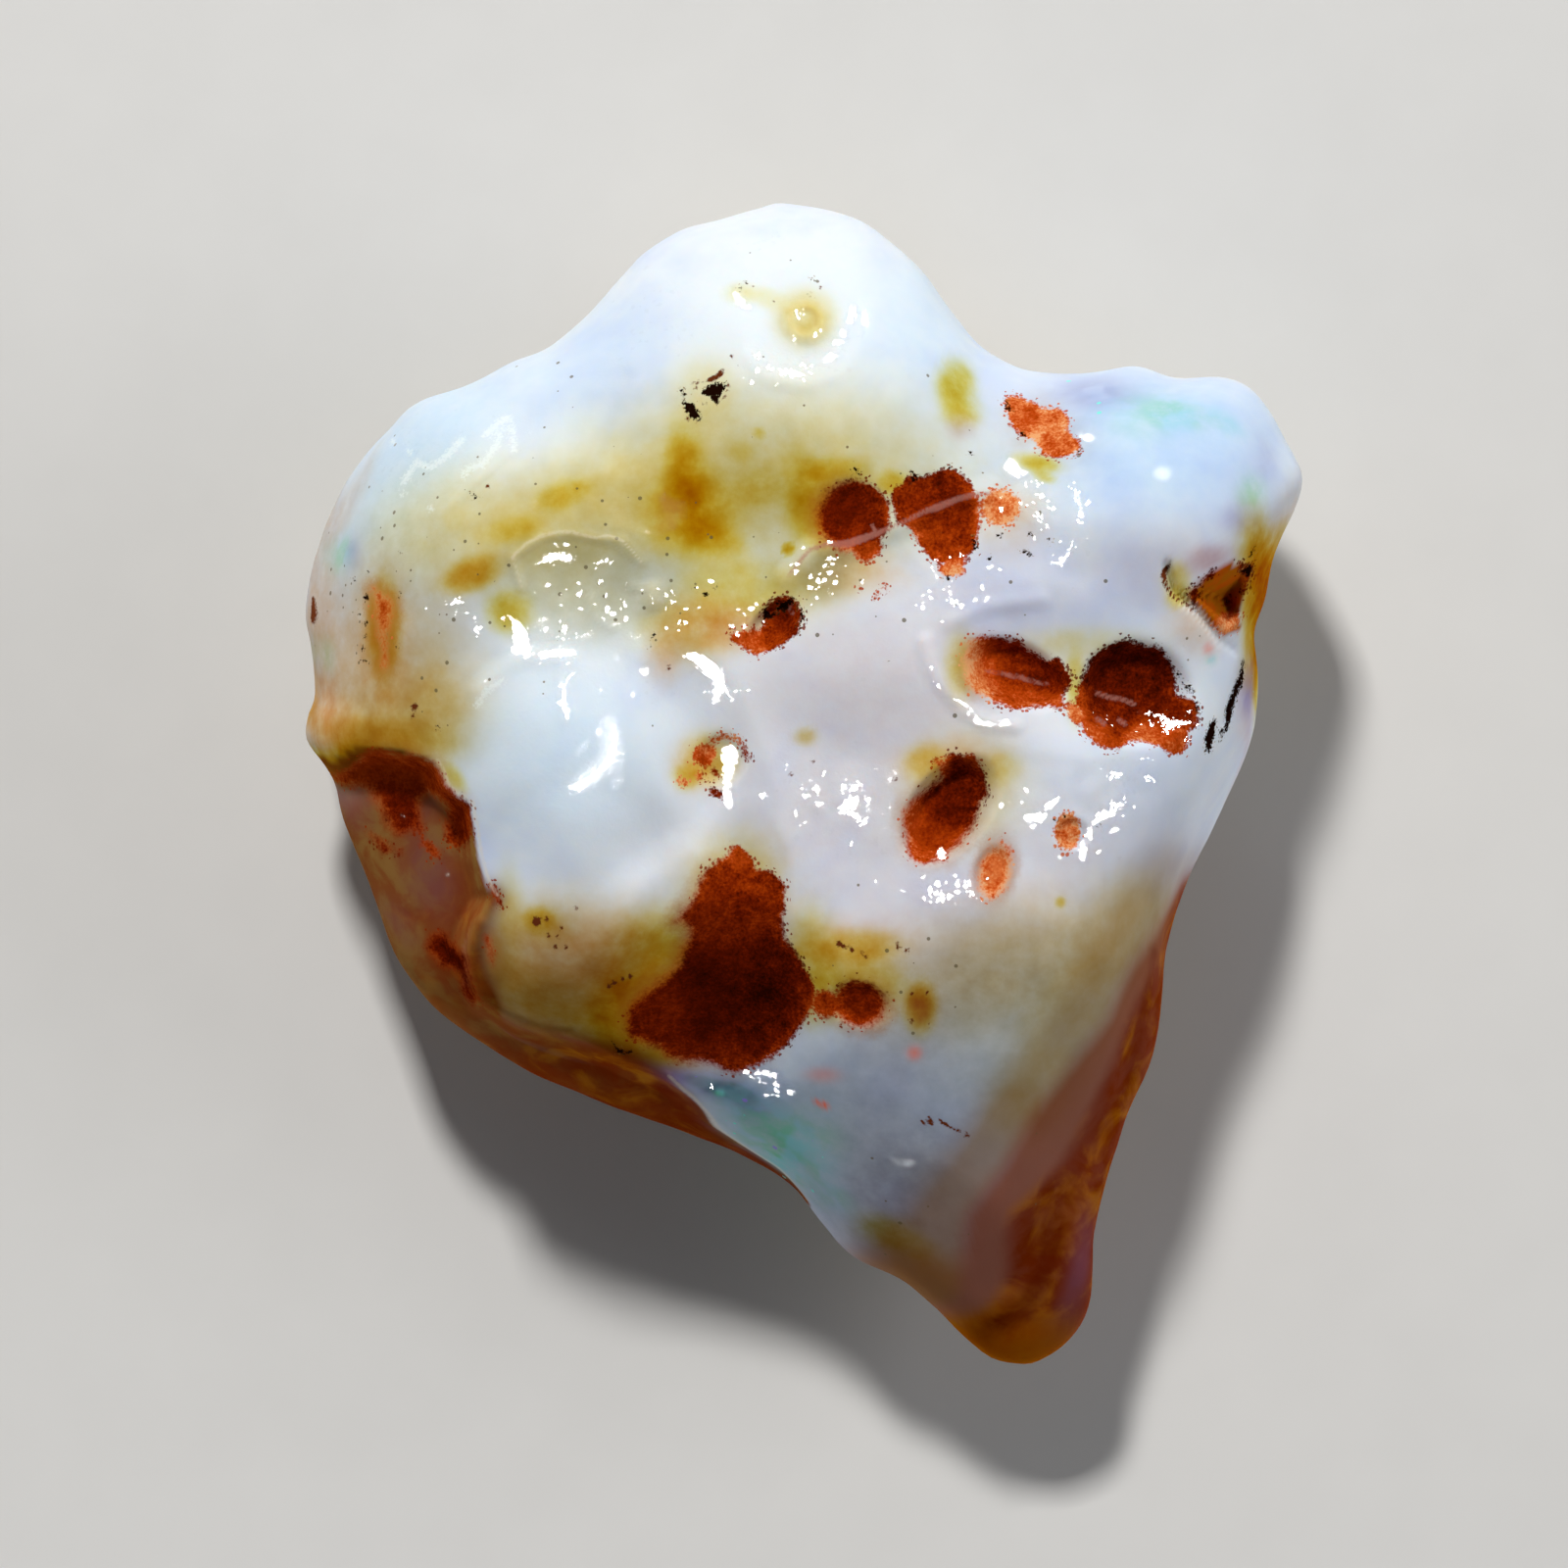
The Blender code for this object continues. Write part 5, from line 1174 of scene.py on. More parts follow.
IRON_CLOUDS = [
    ("under the crown", -0.4, 6.2, 3.6, 1.7, 0, 0.46),
    ("left of it", -5.2, 5.3, 2.6, 1.1, 12, 0.48),
    ("between", -2.2, 5.6, 2.0, 1.6, 0, 0.2),
    ("scoop", -4.3, 3.9, 1.7, 0.9, 0, 0.2),
    ("cheek", -8.2, 2.6, 1.6, 1.8, 0, 0.3),
    ("low cheek", -8.2, 1.3, 1.3, 0.8, 0, 0.35),
    ("boss side", -7.5, 1.4, 0.6, 1.2, 0, 0.25),
    ("round the nipple", 0.05, 9.45, 0.5, 0.5, 0, 0.75),
    ("clear top of the nipple", 0.0, 9.5, 0.2, 0.2, 0, -0.35),
    ("ground of the black clump", -2.0, 7.9, 0.6, 0.7, 0, 0.22),
    ("above the belly", 4.2, -3.7, 2.4, 1.2, 15, 0.36),
    ("round the tilted pit", 3.2, -0.2, 1.2, 1.0, 50, 0.35),
    ("right of the deep pit", 0.5, 4.2, 0.9, 0.5, 20, 0.35),
    ("halo, top", -1.5, -2.5, 1.1, 1.0, 0, 0.4),
    ("halo, left", -3.9, -4.0, 0.7, 0.9, 0, 0.4),
    ("tan under the boss", -4.9, -3.6, 1.4, 1.3, 20, 0.4),
    ("below the lobe", -5.4, -4.3, 1.2, 0.6, -20, 0.6),
    ("left of the lobe", -6.0, -2.9, 0.3, 1.0, 0, 0.5),
    ("above the flank", -8.6, 0.95, 1.2, 0.34, -4, 1.1),
    ("over the long pits", 5.5, 2.6, 1.4, 0.5, 0, 0.2),
    ("dots on the lobe", -5.2, -2.9, 0.5, 0.4, 0, 0.4),
    ("over the yellow patch", 0.05, 0.96, 0.2, 0.15, 0, 0.5),
    ("under the left shoulder", -7.8, 5.4, 1.6, 1.0, 30, 0.16),
]
# The stronger ochre blotches, with firmer edges.
OCHRE_CLOUDS = [
    ("great ochre, top", -2.4, 6.3, 0.36, 0.85, 4, 1.1),
    ("great ochre, middle", -2.25, 5.5, 0.8, 0.74, 20, 1.35),
    ("heart of it", -2.42, 5.9, 0.26, 0.55, 0, 0.25),
    ("its foot", -1.9, 5.0, 0.62, 0.32, -20, 0.8),
    ("beside it", -0.9, 6.0, 0.5, 0.4, 0, 0.4),
    ("left one", -4.85, 5.85, 0.5, 0.24, 22, 0.8),
    ("further left", -5.85, 5.15, 0.5, 0.24, 12, 0.55),
    ("on the scoop's rim", -6.7, 4.25, 0.56, 0.28, 22, 1.0),
    ("in the scoop's corner", -5.95, 3.5, 0.4, 0.38, 0, 0.9),
    ("left of the left twin", 0.15, 5.7, 0.45, 0.85, 15, 1.3),
    ("over the left twin", 0.7, 6.3, 0.6, 0.26, 0, 0.8),
    ("between the twins", 1.8, 6.1, 0.3, 0.2, 0, 0.9),
    ("above", -1.25, 6.7, 0.22, 0.24, 0, 0.25),
    ("higher", -0.9, 7.1, 0.1, 0.1, 0, 0.5),
    ("small", -0.3, 4.75, 0.12, 0.1, 0, 1.6),
    ("dot by the wing hollow", 3.1, 8.1, 0.34, 0.44, 0, 1.0),
    ("its foot", 3.2, 7.55, 0.36, 0.3, 0, 0.6),
    ("under the wing hollow", 4.75, 6.5, 0.4, 0.16, -12, 0.9),
    ("below the hollow", 4.9, 6.22, 0.2, 0.1, -20, 0.6),
    ("halo of the great stain", -2.8, -3.9, 0.9, 1.1, 30, 1.3),
    ("halo, left", -3.7, -4.7, 0.6, 0.7, 0, 1.5),
    ("halo, right", 0.15, -3.7, 0.5, 1.0, 0, 0.7),
    ("halo, top", -1.3, -1.8, 0.8, 0.8, 0, 0.25),
    ("under the stain's foot", -3.3, -5.4, 0.8, 0.25, -15, 1.2),
    ("over the deep pit", -1.2, 3.9, 1.2, 0.6, -8, 0.5),
    ("right of the tilted pit", 3.95, 0.3, 0.4, 0.3, 20, 0.35),
    ("above the tilted pit", 2.5, 0.42, 0.4, 0.34, 0, 0.6),
    ("right of the belly", 2.38, -4.52, 0.26, 0.42, 0, 1.6),
    ("halo on the belly", 1.1, -4.1, 0.9, 0.6, 0, 0.8),
    ("above the belly spot", 1.1, -3.3, 0.8, 0.3, 0, 0.7),
    ("by the cavity", 7.62, 3.82, 0.24, 0.2, 30, 0.7),
    ("cavity's tan", 7.55, 4.15, 0.25, 0.3, 0, 0.5),
    ("flank's top", -9.1, 0.45, 0.5, 0.35, 0, 2.4),
    ("along the upper edge", -7.1, 0.15, 0.35, 0.16, -50, 0.5),
    ("specks by the dish", -1.3, 9.95, 0.3, 0.2, 0, 0.2),
    ("from the dish", -0.7, 9.85, 0.5, 0.2, -20, 0.16),
    ("halo of the long pit", 3.2, 2.4, 0.3, 0.6, 0, 0.5),
    ("between the long pits", 5.5, 2.0, 0.16, 0.6, 0, 0.6),
    ("over the long pits", 5.7, 2.9, 1.1, 0.25, 0, 0.12),
    ("gully pit", -2.35, 0.15, 0.26, 0.24, 0, 0.6),
    ("gully pit's ring", -1.9, 0.5, 0.5, 0.45, 0, 0.6),
    ("lower left of the belly", 1.9, -9.4, 0.8, 0.4, -30, 0.6),
    ("tip", 4.6, -11.2, 1.0, 0.7, 0, 1.0),
    ("under the lobe", -5.4, -4.4, 1.4, 0.5, -18, 0.12),
    ("foot of the ledge", -4.4, -5.0, 1.2, 0.4, -14, 0.3),
    ("dot on the lobe", -5.35, -2.78, 0.3, 0.24, 0, 0.9),
    ("small on the belly", 5.2, -2.4, 0.1, 0.1, 0, 0.6),
    ("right edge", 9.35, 3.7, 0.35, 1.5, 8, 2.0),
    ("left streak", -8.5, 3.1, 0.3, 0.9, 0, 1.0),
    ("below the scoop", -2.3, 3.2, 0.9, 0.6, 0, 0.4),
]
OCHRE_EDGE = 1.1  # how much firmer their edges are
IRON_BANDS = [
    ("edge of the corner", 0.3, 1.0, [(9.85, 5.0), (9.5, 4.2), (9.25, 3.2), (9.25, 2.2)]),
    ("inside the wall's edge", 0.8, 0.3, [
        (6.8, -2.6), (6.1, -3.6), (5.6, -4.6), (5.0, -5.6), (4.5, -6.4)]),
]
CAVITY = [
    (7.77, 3.96), (7.87, 4.02), (8.05, 4.16), (8.25, 4.34), (8.45, 4.44), (8.61, 4.54),
    (8.85, 4.48), (9.07, 4.46), (9.13, 4.34), (9.07, 4.16), (9.01, 3.92), (8.93, 3.64),
    (8.87, 3.4), (8.93, 3.2), (8.87, 3.06), (8.65, 3.0), (8.47, 3.04), (8.25, 3.18),
    (8.13, 3.36), (8.01, 3.52), (7.85, 3.64), (7.75, 3.8),
]
CAVITY_EDGE = 0.08

PEACH_CLOUDS = [
    ("left of the great stain", -3.5, -3.8, 0.9, 1.1, 0, 0.9),
    ("lobe", -5.0, -3.7, 1.4, 1.2, 0, 0.6),
    ("right of the great stain", 0.9, -3.3, 1.2, 0.5, 0, 0.6),
    ("round the tilted pit", 3.0, 0.4, 1.1, 0.5, 0, 0.5),
    ("below the scoop", -2.1, 3.2, 0.8, 0.6, 0, 0.9),
    ("left of the deep pit", -1.4, 3.2, 0.6, 0.4, 0, 0.8),
    ("by the bright bird", -2.8, 2.6, 0.4, 0.6, 0, 0.6),
    ("left streak", -8.5, 3.1, 0.5, 1.4, 0, 0.5),
    ("left edge", -9.9, 3.4, 0.4, 2.4, 0, 0.8),
    ("cheek", -9.0, 2.6, 0.8, 1.6, 0, 0.5),
    ("knob on the left edge", -9.8, 1.2, 0.6, 0.9, 0, 1.4),
    ("under the wing hollow", 4.9, 7.2, 0.9, 0.7, -35, 0.5),
    ("beside the twins", 4.2, 5.4, 0.7, 0.7, 0, 0.5),
    ("by the gully pit", -2.1, 0.4, 0.5, 0.5, 0, 0.9),
    ("right of the belly", 2.38, -4.52, 0.3, 0.42, 0, 1.3),
    ("below the left twin", 1.2, 4.3, 0.9, 0.4, 0, 0.5),
    ("on the scoop's rim", -6.7, 4.25, 0.6, 0.3, 20, 0.8),
    ("edge of the wing", 9.8, 4.9, 0.5, 1.2, -15, 0.8),
    ("round the cavity", 8.0, 3.2, 0.6, 0.6, 0, 0.6),
    ("edge of the left shoulder", -9.4, 5.8, 0.3, 1.4, -30, 0.5),
    ("cheek, low", -7.8, 1.6, 1.2, 1.0, 0, 0.35),
    ("right edge", 9.35, 3.7, 0.4, 1.6, 8, 1.4),
]

LILAC_CLOUDS = [
    ("middle", 1.6, 1.9, 3.6, 2.2, 0, 0.3),
    ("centre", 0.6, -1.6, 4.0, 1.8, 0, 0.24),
    ("right", 6.0, -1.6, 2.2, 1.6, 0, 0.16),
    ("by the pits", 4.4, 4.2, 2.0, 1.2, 0, 0.1),
    ("wing, low", 7.6, 4.4, 1.6, 0.9, 0, 0.22),
    ("over the cavity", 8.2, 4.55, 0.45, 0.25, 10, 0.9),
    ("wing hollow's pit", 3.2, 7.25, 0.3, 0.25, 0, 0.5),
    ("edge by the crack", 9.1, 1.6, 0.3, 1.0, 0, 0.6),
    ("right edge", 8.7, -0.4, 0.3, 1.4, -25, 0.4),
    ("belly's top", 3.6, -3.6, 3.0, 1.4, 10, 0.35),
    ("tan under the boss", -5.0, -3.8, 1.6, 1.2, 20, 0.45),
    ("lower belly", 2.0, -8.4, 2.0, 1.4, -40, 0.3),
    ("cheek", -8.4, 2.9, 1.6, 1.8, 0, 0.3),
]

# Clearer grey opal, and painted shade: the lower belly and the tip are painted darker towards the tip,
# where the face falls away from the lamp, and the crest's foot is painted darker where the lamp lights it.
CLEAR_AND_SHADE_CLOUDS = [
    ("lower belly", 1.6, -7.2, 3.4, 2.4, -20, 0.85),
    ("above the tip", 3.0, -9.6, 2.0, 1.8, -40, 0.7),
    ("crest's foot", 0.45, 4.2, 0.6, 0.45, 30, 0.6),
    ("right belly", 3.8, -4.8, 1.9, 1.9, 0, 0.45),
    ("scoop", -4.3, 3.8, 1.8, 1.0, 0, 0.36),
    ("left of the boss", -6.9, 0.9, 0.5, 1.0, 0, 0.15),
    ("under the boss", -3.2, -0.8, 1.2, 0.8, 0, 0.12),
    ("wing", 7.6, 6.6, 2.2, 1.6, 0, 0.1),
]

BLUE_CLOUDS = [
    ("wing", 7.2, 7.0, 2.8, 1.6, 0, 0.85),
    ("left shoulder", -8.0, 6.9, 2.4, 1.1, 40, 0.8),
    ("left cheek", -8.6, 4.4, 1.4, 1.0, 0, 0.4),
    ("right of the crown", 2.6, 9.4, 1.4, 1.6, 0, 0.45),
    ("crown's left", -4.4, 8.6, 2.0, 1.2, 30, 0.35),
    # On the boss the bluer milk is a painted broad highlight, the soft glow on its dome.
    ("boss", -5.0, 0.6, 2.2, 1.7, 0, 0.4),
    ("under the great stain", 0.6, -7.0, 2.2, 1.6, -30, 0.3),
]

FROST_CLOUDS = [
    ("crown", -0.6, 9.4, 3.6, 2.4, 0, 1.0),
    ("left shoulder", -7.4, 6.2, 2.6, 2.0, 40, 0.9),
    ("wing", 7.6, 6.2, 2.2, 1.8, 0, 0.5),
    ("belly", 2.2, -5.4, 3.0, 2.4, 0, 0.6),
    ("middle", 0.6, 0.8, 6.0, 3.4, 0, 0.9),
    ("boss", -4.8, 0.6, 2.0, 2.4, 0, 1.0),
]

BACK_IRON = [
    ("tip", 4.4, -8.6, 2.6, 3.0, 0, 1.8),
    ("left", -6.4, -2.6, 2.4, 2.6, 0, 1.4),
    ("crown", 2.6, 7.6, 2.2, 1.6, 20, 0.8),
    ("middle", -1.0, 1.2, 1.8, 1.4, 30, 0.5),
]


def bands(x, y, parts):
    """The depth of soft bands at each place."""
    parts = [Band(*row) for row in parts]
    away = [(part, distance_to_line(x, y, part.points) / part.width) for part in parts]
    return sum(part.depth * np.exp(-(distance**CLOUD_EDGE)) for part, distance in away)


cavity = smooth_step(inside_patches(x, y, {"corner cavity": CAVITY}) / CAVITY_EDGE)
iron = clouds(x, y, IRON_CLOUDS) + bands(x, y, IRON_BANDS)
soft_field("iron", iron, 0.25 + clouds(x, y, BACK_IRON))
soft_field("ochre", clouds(x, y, OCHRE_CLOUDS, CLOUD_EDGE * OCHRE_EDGE), 0.1)
soft_field("cavity", cavity)
for name, parts, on_back in [
    ("peach", PEACH_CLOUDS, 0.1),
    ("lilac", LILAC_CLOUDS, 0.2),
    ("clear", CLEAR_AND_SHADE_CLOUDS, 0.3),
    ("blue", BLUE_CLOUDS, 0.3),
]:
    soft_field(name, clouds(x, y, parts), on_back)
soft_field("frost", np.minimum(clouds(x, y, FROST_CLOUDS), 1.0), 0.4)


# The brown flank and the mauve and amber wall
# Where the milky skin is gone the stone is clear brown inside. The flank is brown with amber
# below, and the right wall has a mauve strip above an amber one.

MAUVE_LINE = [
    (8.4, -1.0), (7.6, -1.8), (7.0, -2.6), (6.35, -3.6), (5.9, -4.6), (5.1, -5.6), (4.35, -6.6),
    (3.8, -7.6), (3.05, -8.6), (2.9, -9.6), (2.6, -11.0), (2.2, -13.0),
]
AMBER_LINE = [
    (8.7, -1.0), (7.9, -1.8), (7.4, -2.6), (7.0, -3.6), (6.5, -4.6), (6.1, -5.6),
    (5.6, -6.6), (5.1, -7.6), (4.05, -8.6), (3.8, -9.6), (3.5, -10.6), (3.1, -13.0),
]
MAUVE_SOFTNESS = 0.55
AMBER_SOFTNESS = 0.4
BREAK_SOFTNESS = 0.07
# Under the lobe the milk fades into the brown instead of ending at a sharp edge.
FADED_BREAKS = [
    ("ledge under the lobe", -4.9, -4.9, 2.0, 0.9, -12, 0.8),
    ("ledge beside the lobe", -6.7, -3.4, 0.8, 1.1, 0, 0.12),
]
TAN_CLOUDS = [
    ("above the ledge", -5.2, -4.4, 1.6, 0.5, -14, 0.3),
    ("right of the ledge", -6.55, -3.3, 0.5, 1.3, 4, 1.3),
    ("above the tip", 2.6, -9.9, 1.6, 0.9, -20, 0.8),
]
LEDGE_BANDS = [
    ("beside the lobe", 0.3, 1.0, [
        (-6.35, -2.3), (-6.62, -2.75), (-6.72, -3.3), (-6.66, -3.8), (-6.45, -4.4)]),
    ("under the lobe", 0.5, 1.0, [
        (-6.7, -4.7), (-5.8, -5.1), (-4.7, -5.4), (-3.7, -5.7), (-3.0, -6.1)]),
]
# Below these the tip is brown, and then honey-coloured.
TIP_Y, TIP_FADE = -9.2, 1.0
HONEY_Y, HONEY_FADE = -10.5, 0.7
# Where the rim of the flank turns amber: x and y of the start, and over how far.
RIM_AMBER_START = (-7.2, -4.6, 1.2)
AMBER_AT_THE_TOP = 0.5  # how much of the brown the flank's top loses to amber

AMBER_CLOUDS = [
    ("flank's top", -9.3, 0.2, 0.5, 0.6, 0, 0.6),
    ("flank's side", -7.0, -2.4, 0.35, 0.8, 15, 0.6),
    ("flank's lower side", -7.8, -2.7, 0.6, 0.25, 20, 0.5),
    ("round the low rust", -7.0, -3.8, 0.7, 0.9, 0, 0.6),
]
# The tan bands inside the wall's edge are partly painted shade, darker where the face turns down to the
# wall.
TAN_AND_SHADE_BANDS = [
    ("inside the wall's edge", 0.7, 0.8, [
        (7.5, -1.8), (6.8, -2.6), (6.15, -3.6), (5.75, -4.6), (5.0, -5.6), (4.2, -6.6),
        (3.55, -7.6), (2.8, -8.6), (2.3, -9.6), (2.5, -10.6)]),
    ("lower down", 0.5, 0.6, [(4.4, -6.7), (3.8, -7.6), (3.1, -8.5), (2.8, -9.4)]),
]
BURNT_BANDS = [
    ("right wall", 0.14, 0.5, [(7.15, -3.4), (7.0, -4.6), (6.7, -5.8)]),
    ("tip", 0.36, 0.7, [(5.3, -8.4), (4.9, -9.4), (4.6, -10.3), (4.2, -11.0)]),
    ("dark streak in the tip", 0.15, 0.9, [
        (4.95, -9.1), (4.7, -9.8), (4.45, -10.5), (4.2, -10.9)]),
    ("rim", 0.34, 0.75, [(-4.6, -6.3), (-3.0, -6.8), (-1.6, -7.5), (-0.4, -8.5)]),
    ("under the front edge", 0.16, 0.9, [
        (-2.9, -6.1), (-2.4, -6.5), (-1.9, -6.95), (-1.3, -7.45), (-0.7, -7.95), (0.0, -8.6)]),
]
PINK_CLOUDS = [
    ("flank, middle", -7.6, -1.8, 0.5, 0.9, 15, 0.9),
    ("flank, grey-green patch", -7.6, -0.5, 0.2, 0.26, 0, 0.5),
    ("flank, lower", -8.2, -3.0, 0.3, 0.6, 20, 0.6),
    ("flank, upper left", -8.9, -0.5, 0.3, 0.5, 0, 0.5),
    ("knob at the tip", 5.6, -10.2, 0.35, 1.0, 0, 0.5),
    ("rim's dark violet end", -2.3, -6.35, 0.25, 0.12, -40, 0.6),
]

past_break = beyond_edge(x, y, BROKEN_EDGE, BEYOND_BROKEN_EDGE)
past_mauve = beyond_edge(x, y, MAUVE_LINE, BEYOND_WALL_EDGE)
past_amber = beyond_edge(x, y, AMBER_LINE, BEYOND_WALL_EDGE)
flank = smooth_step(past_break / (BREAK_SOFTNESS + clouds(x, y, FADED_BREAKS)))
flank = np.maximum(flank, np.minimum(bands(x, y, LEDGE_BANDS), 1.0))
tip = smooth_step((TIP_Y - y) / TIP_FADE)
honey = smooth_step((HONEY_Y - y) / HONEY_FADE)
rim_x, rim_y, rim_run = RIM_AMBER_START
rim = flank * smooth_step((x - rim_x) / rim_run) * smooth_step((rim_y - y) / rim_run)
wall = smooth_step(past_amber / AMBER_SOFTNESS)
soft_field("flank", flank * (1.0 - AMBER_AT_THE_TOP * clouds(x, y, AMBER_CLOUDS[:1])), 0.25)
soft_field("mauve", smooth_step(past_mauve / MAUVE_SOFTNESS))
soft_field("tip", tip)
soft_field("honey", honey)
soft_field("tan", np.minimum(clouds(x, y, TAN_CLOUDS) + bands(x, y, TAN_AND_SHADE_BANDS), 1.0))
soft_field("amber", np.clip(rim + wall + flank * clouds(x, y, AMBER_CLOUDS), 0.0, 1.0), 0.2)
soft_field("burnt", np.clip(bands(x, y, BURNT_BANDS), 0.0, 1.0))
soft_field("pink", np.clip(clouds(x, y, PINK_CLOUDS), 0.0, 1.0))


# The play of colour
# Patches where the opal breaks light into spectral colours: teal and green by the broken edge,
# violet and cyan on the wing, and small flecks elsewhere.

TEAL_FIRE = [
    ("wing, under the violet", 6.9, 7.5, 0.9, 0.5, 0, 0.3),
    ("by the broken edge", -0.9, -6.9, 1.3, 0.5, -42, 0.6),
    ("right of it", 0.0, -7.3, 0.8, 0.7, -40, 0.5),
    ("green", -0.73, -7.45, 0.3, 0.16, -40, 0.5),
    ("low", 0.6, -8.4, 0.5, 0.3, -50, 0.3),
    ("cyan fleck", -1.69, -6.28, 0.1, 0.07, 0, 1.0),
    ("wing", 7.6, 7.5, 0.7, 0.3, -10, 0.5),
    ("wing's green", 9.1, 5.9, 0.3, 0.35, 0, 0.45),
    ("wing's edge", 8.6, 7.3, 0.4, 0.2, -40, 0.4),
    ("left edge", -9.4, 4.7, 0.25, 0.4, 0, 0.6),
    ("left edge, low", -9.7, 2.6, 0.2, 0.4, 0, 0.3),
    ("by the corner crack", 8.25, 2.54, 0.12, 0.1, 0, 0.7),
]
VIOLET_FIRE = [
    ("wedge under the great stain", -1.95, -6.1, 0.75, 0.24, -16, 1.0),
    ("wedge's right", -1.15, -6.4, 0.5, 0.26, -30, 0.9),
    ("wing's top", 5.9, 7.95, 0.9, 0.34, 0, 0.52),
    ("wing's right", 8.8, 5.4, 0.4, 0.3, 0, 0.4),
    ("wing's low edge", 9.4, 6.6, 0.3, 0.5, 0, 0.3),
    ("left edge", -9.15, 4.66, 0.2, 0.3, 0, 0.5),
    ("tip", 5.6, -9.9, 0.3, 0.8, 0, 0.1),
    ("edge by the crack", 9.1, 1.9, 0.25, 0.5, 0, 0.6),
    ("on the belly", 1.8, -5.8, 1.0, 1.2, 0, 0.15),
    ("middle", 3.0, 4.1, 0.5, 0.5, 0, 0.1),
]
EMBER_FIRE = [
    ("on the belly", 0.43, -6.52, 0.09, 0.07, 0, 1.0),
    ("beside it", 0.27, -6.46, 0.07, 0.06, 0, 0.8),
    ("above it", 0.4, -5.9, 0.35, 0.15, 0, 0.35),
    ("right", 2.25, -5.45, 0.15, 0.15, 0, 0.6),
    ("by the corner crack", 8.21, 2.74, 0.12, 0.12, 0, 0.5),
]

for name, parts in [("teal fire", TEAL_FIRE), ("violet fire", VIOLET_FIRE), ("ember fire", EMBER_FIRE)]:
    soft_field(name, clouds(x, y, parts))


# The milky opal's finish
# Milk opal glows because light scatters below its skin, which is wet and glossy. Every stain is
# in the same stone, so it is all one material.

MILK_WHITE = (0.77, 0.825, 0.87)
MILK_BLUE = (0.63, 0.71, 0.88)
# What one depth of each stain leaves of the milk's colour.
IRON_TINT = (0.73, 0.48, 0.09)
OCHRE_TINT = (0.84, 0.60, 0.07)
PEACH_TINT = (0.95, 0.68, 0.48)
LILAC_TINT = (0.76, 0.54, 0.53)
# The clear tint also darkens the milk as painted shade.
CLEAR_AND_SHADE_TINT = (0.50, 0.52, 0.56)
BLUE_TINT = (0.70, 0.85, 1.0)
TAN_BROWN = (0.28, 0.175, 0.085)
FLANK_BROWN = (0.22, 0.062, 0.013)
FLANK_OLIVE = (0.25, 0.125, 0.03)
MAUVE_BROWN = (0.26, 0.10, 0.067)
AMBER_BROWN = (0.17, 0.019, 0.0004)
HONEY = (0.37, 0.115, 0.002)
BURNT_BROWN = (0.12, 0.011, 0.0006)
PINK_BROWN = (0.20, 0.068, 0.06)
SOOT_AND_SHADOW_BLACK = (0.010, 0.0025, 0.001)
CRUMB_BROWN = (0.36, 0.2, 0.05)
FRINGE_OCHRE = (0.42, 0.17, 0.014)
GRAIN_BROWN = (0.14, 0.03, 0.008)
SPECK = (0.13, 0.10, 0.045)
CAVITY_BROWN = (0.42, 0.072, 0.002)
CAVITY_OLIVE = (0.33, 0.085, 0.002)
CREST_PINK = (0.42, 0.17, 0.13)
WRINKLE_HIGHLIGHT_PALE = (0.88, 0.95, 0.92)
RIM_HIGHLIGHT_PALE = (0.80, 0.72, 0.56)
TEAL = (0.21, 0.60, 0.63)
GREEN = (0.15, 0.56, 0.34)
VIOLET = (0.16, 0.13, 0.42)
NAVY = (0.045, 0.04, 0.12)
EMBER = (0.85, 0.16, 0.06)
FLAKE_GREEN = (0.15, 0.85, 0.70)
FLAKE_VIOLET = (0.35, 0.25, 0.85)
# How much each covers at its strongest.
TAN_COVER, SPECK_COVER, FLAKE_COVER, DOT_COVER, FRINGE_COVER = 0.75, 0.75, 0.8, 0.9, 0.85
WRINKLE_HIGHLIGHT_COVER, CREST_COVER, RIM_HIGHLIGHT_COVER, CRUMB_COVER = 0.5, 0.6, 0.4, 0.7
SPECK_SHARE, FLAKE_SHARE = 0.6, 0.16  # how many of the specks and flakes are there at most

# The rust's colours, from pale orange to nearly black, with the tone at which each is reached.
DARKEST_TONE = 1.3
RUST_COLOURS = [
    (0.0, (0.78, 0.36, 0.15)),
    (0.15, (0.70, 0.18, 0.045)),
    (0.35, (0.50, 0.060, 0.006)),
    (0.5, (0.37, 0.042, 0.0018)),
    (0.7, (0.22, 0.018, 0.0007)),
    (0.85, (0.125, 0.008, 0.0003)),
    (1.0, (0.068, 0.0045, 0.0002)),
    (1.2, (0.022, 0.002, 0.0002)),
]

milk_opal = bpy.data.materials.new("milk_opal")
milk_opal.use_nodes = True
tree = milk_opal.node_tree
shader = tree.nodes["Principled BSDF"]


def feed(socket, value):
    """Gives a socket a number or a colour, or joins another node's output to it."""
    if isinstance(value, bpy.types.NodeSocket):
        tree.links.new(value, socket)
    elif isinstance(value, tuple):
        socket.default_value = (*value, 1.0)[: len(socket.default_value)]
    else:
        socket.default_value = value


def sum_up(operation, *values):
    """The outcome of one sum, such as ADD, on numbers or outputs of nodes."""
    node = tree.nodes.new("ShaderNodeMath")
    node.operation = operation
    for socket, value in zip(node.inputs, values):
        feed(socket, value)
    return node.outputs[0]


def times(a, b):
    return sum_up("MULTIPLY", a, b)


def times_plus(a, b, more):
    """a times b, plus more."""
    return sum_up("MULTIPLY_ADD", a, b, more)


def larger(a, b):
    return sum_up("MAXIMUM", a, b)


def is_less(a, b):
    """1 where a is less than b, and 0 elsewhere."""
    return sum_up("LESS_THAN", a, b)


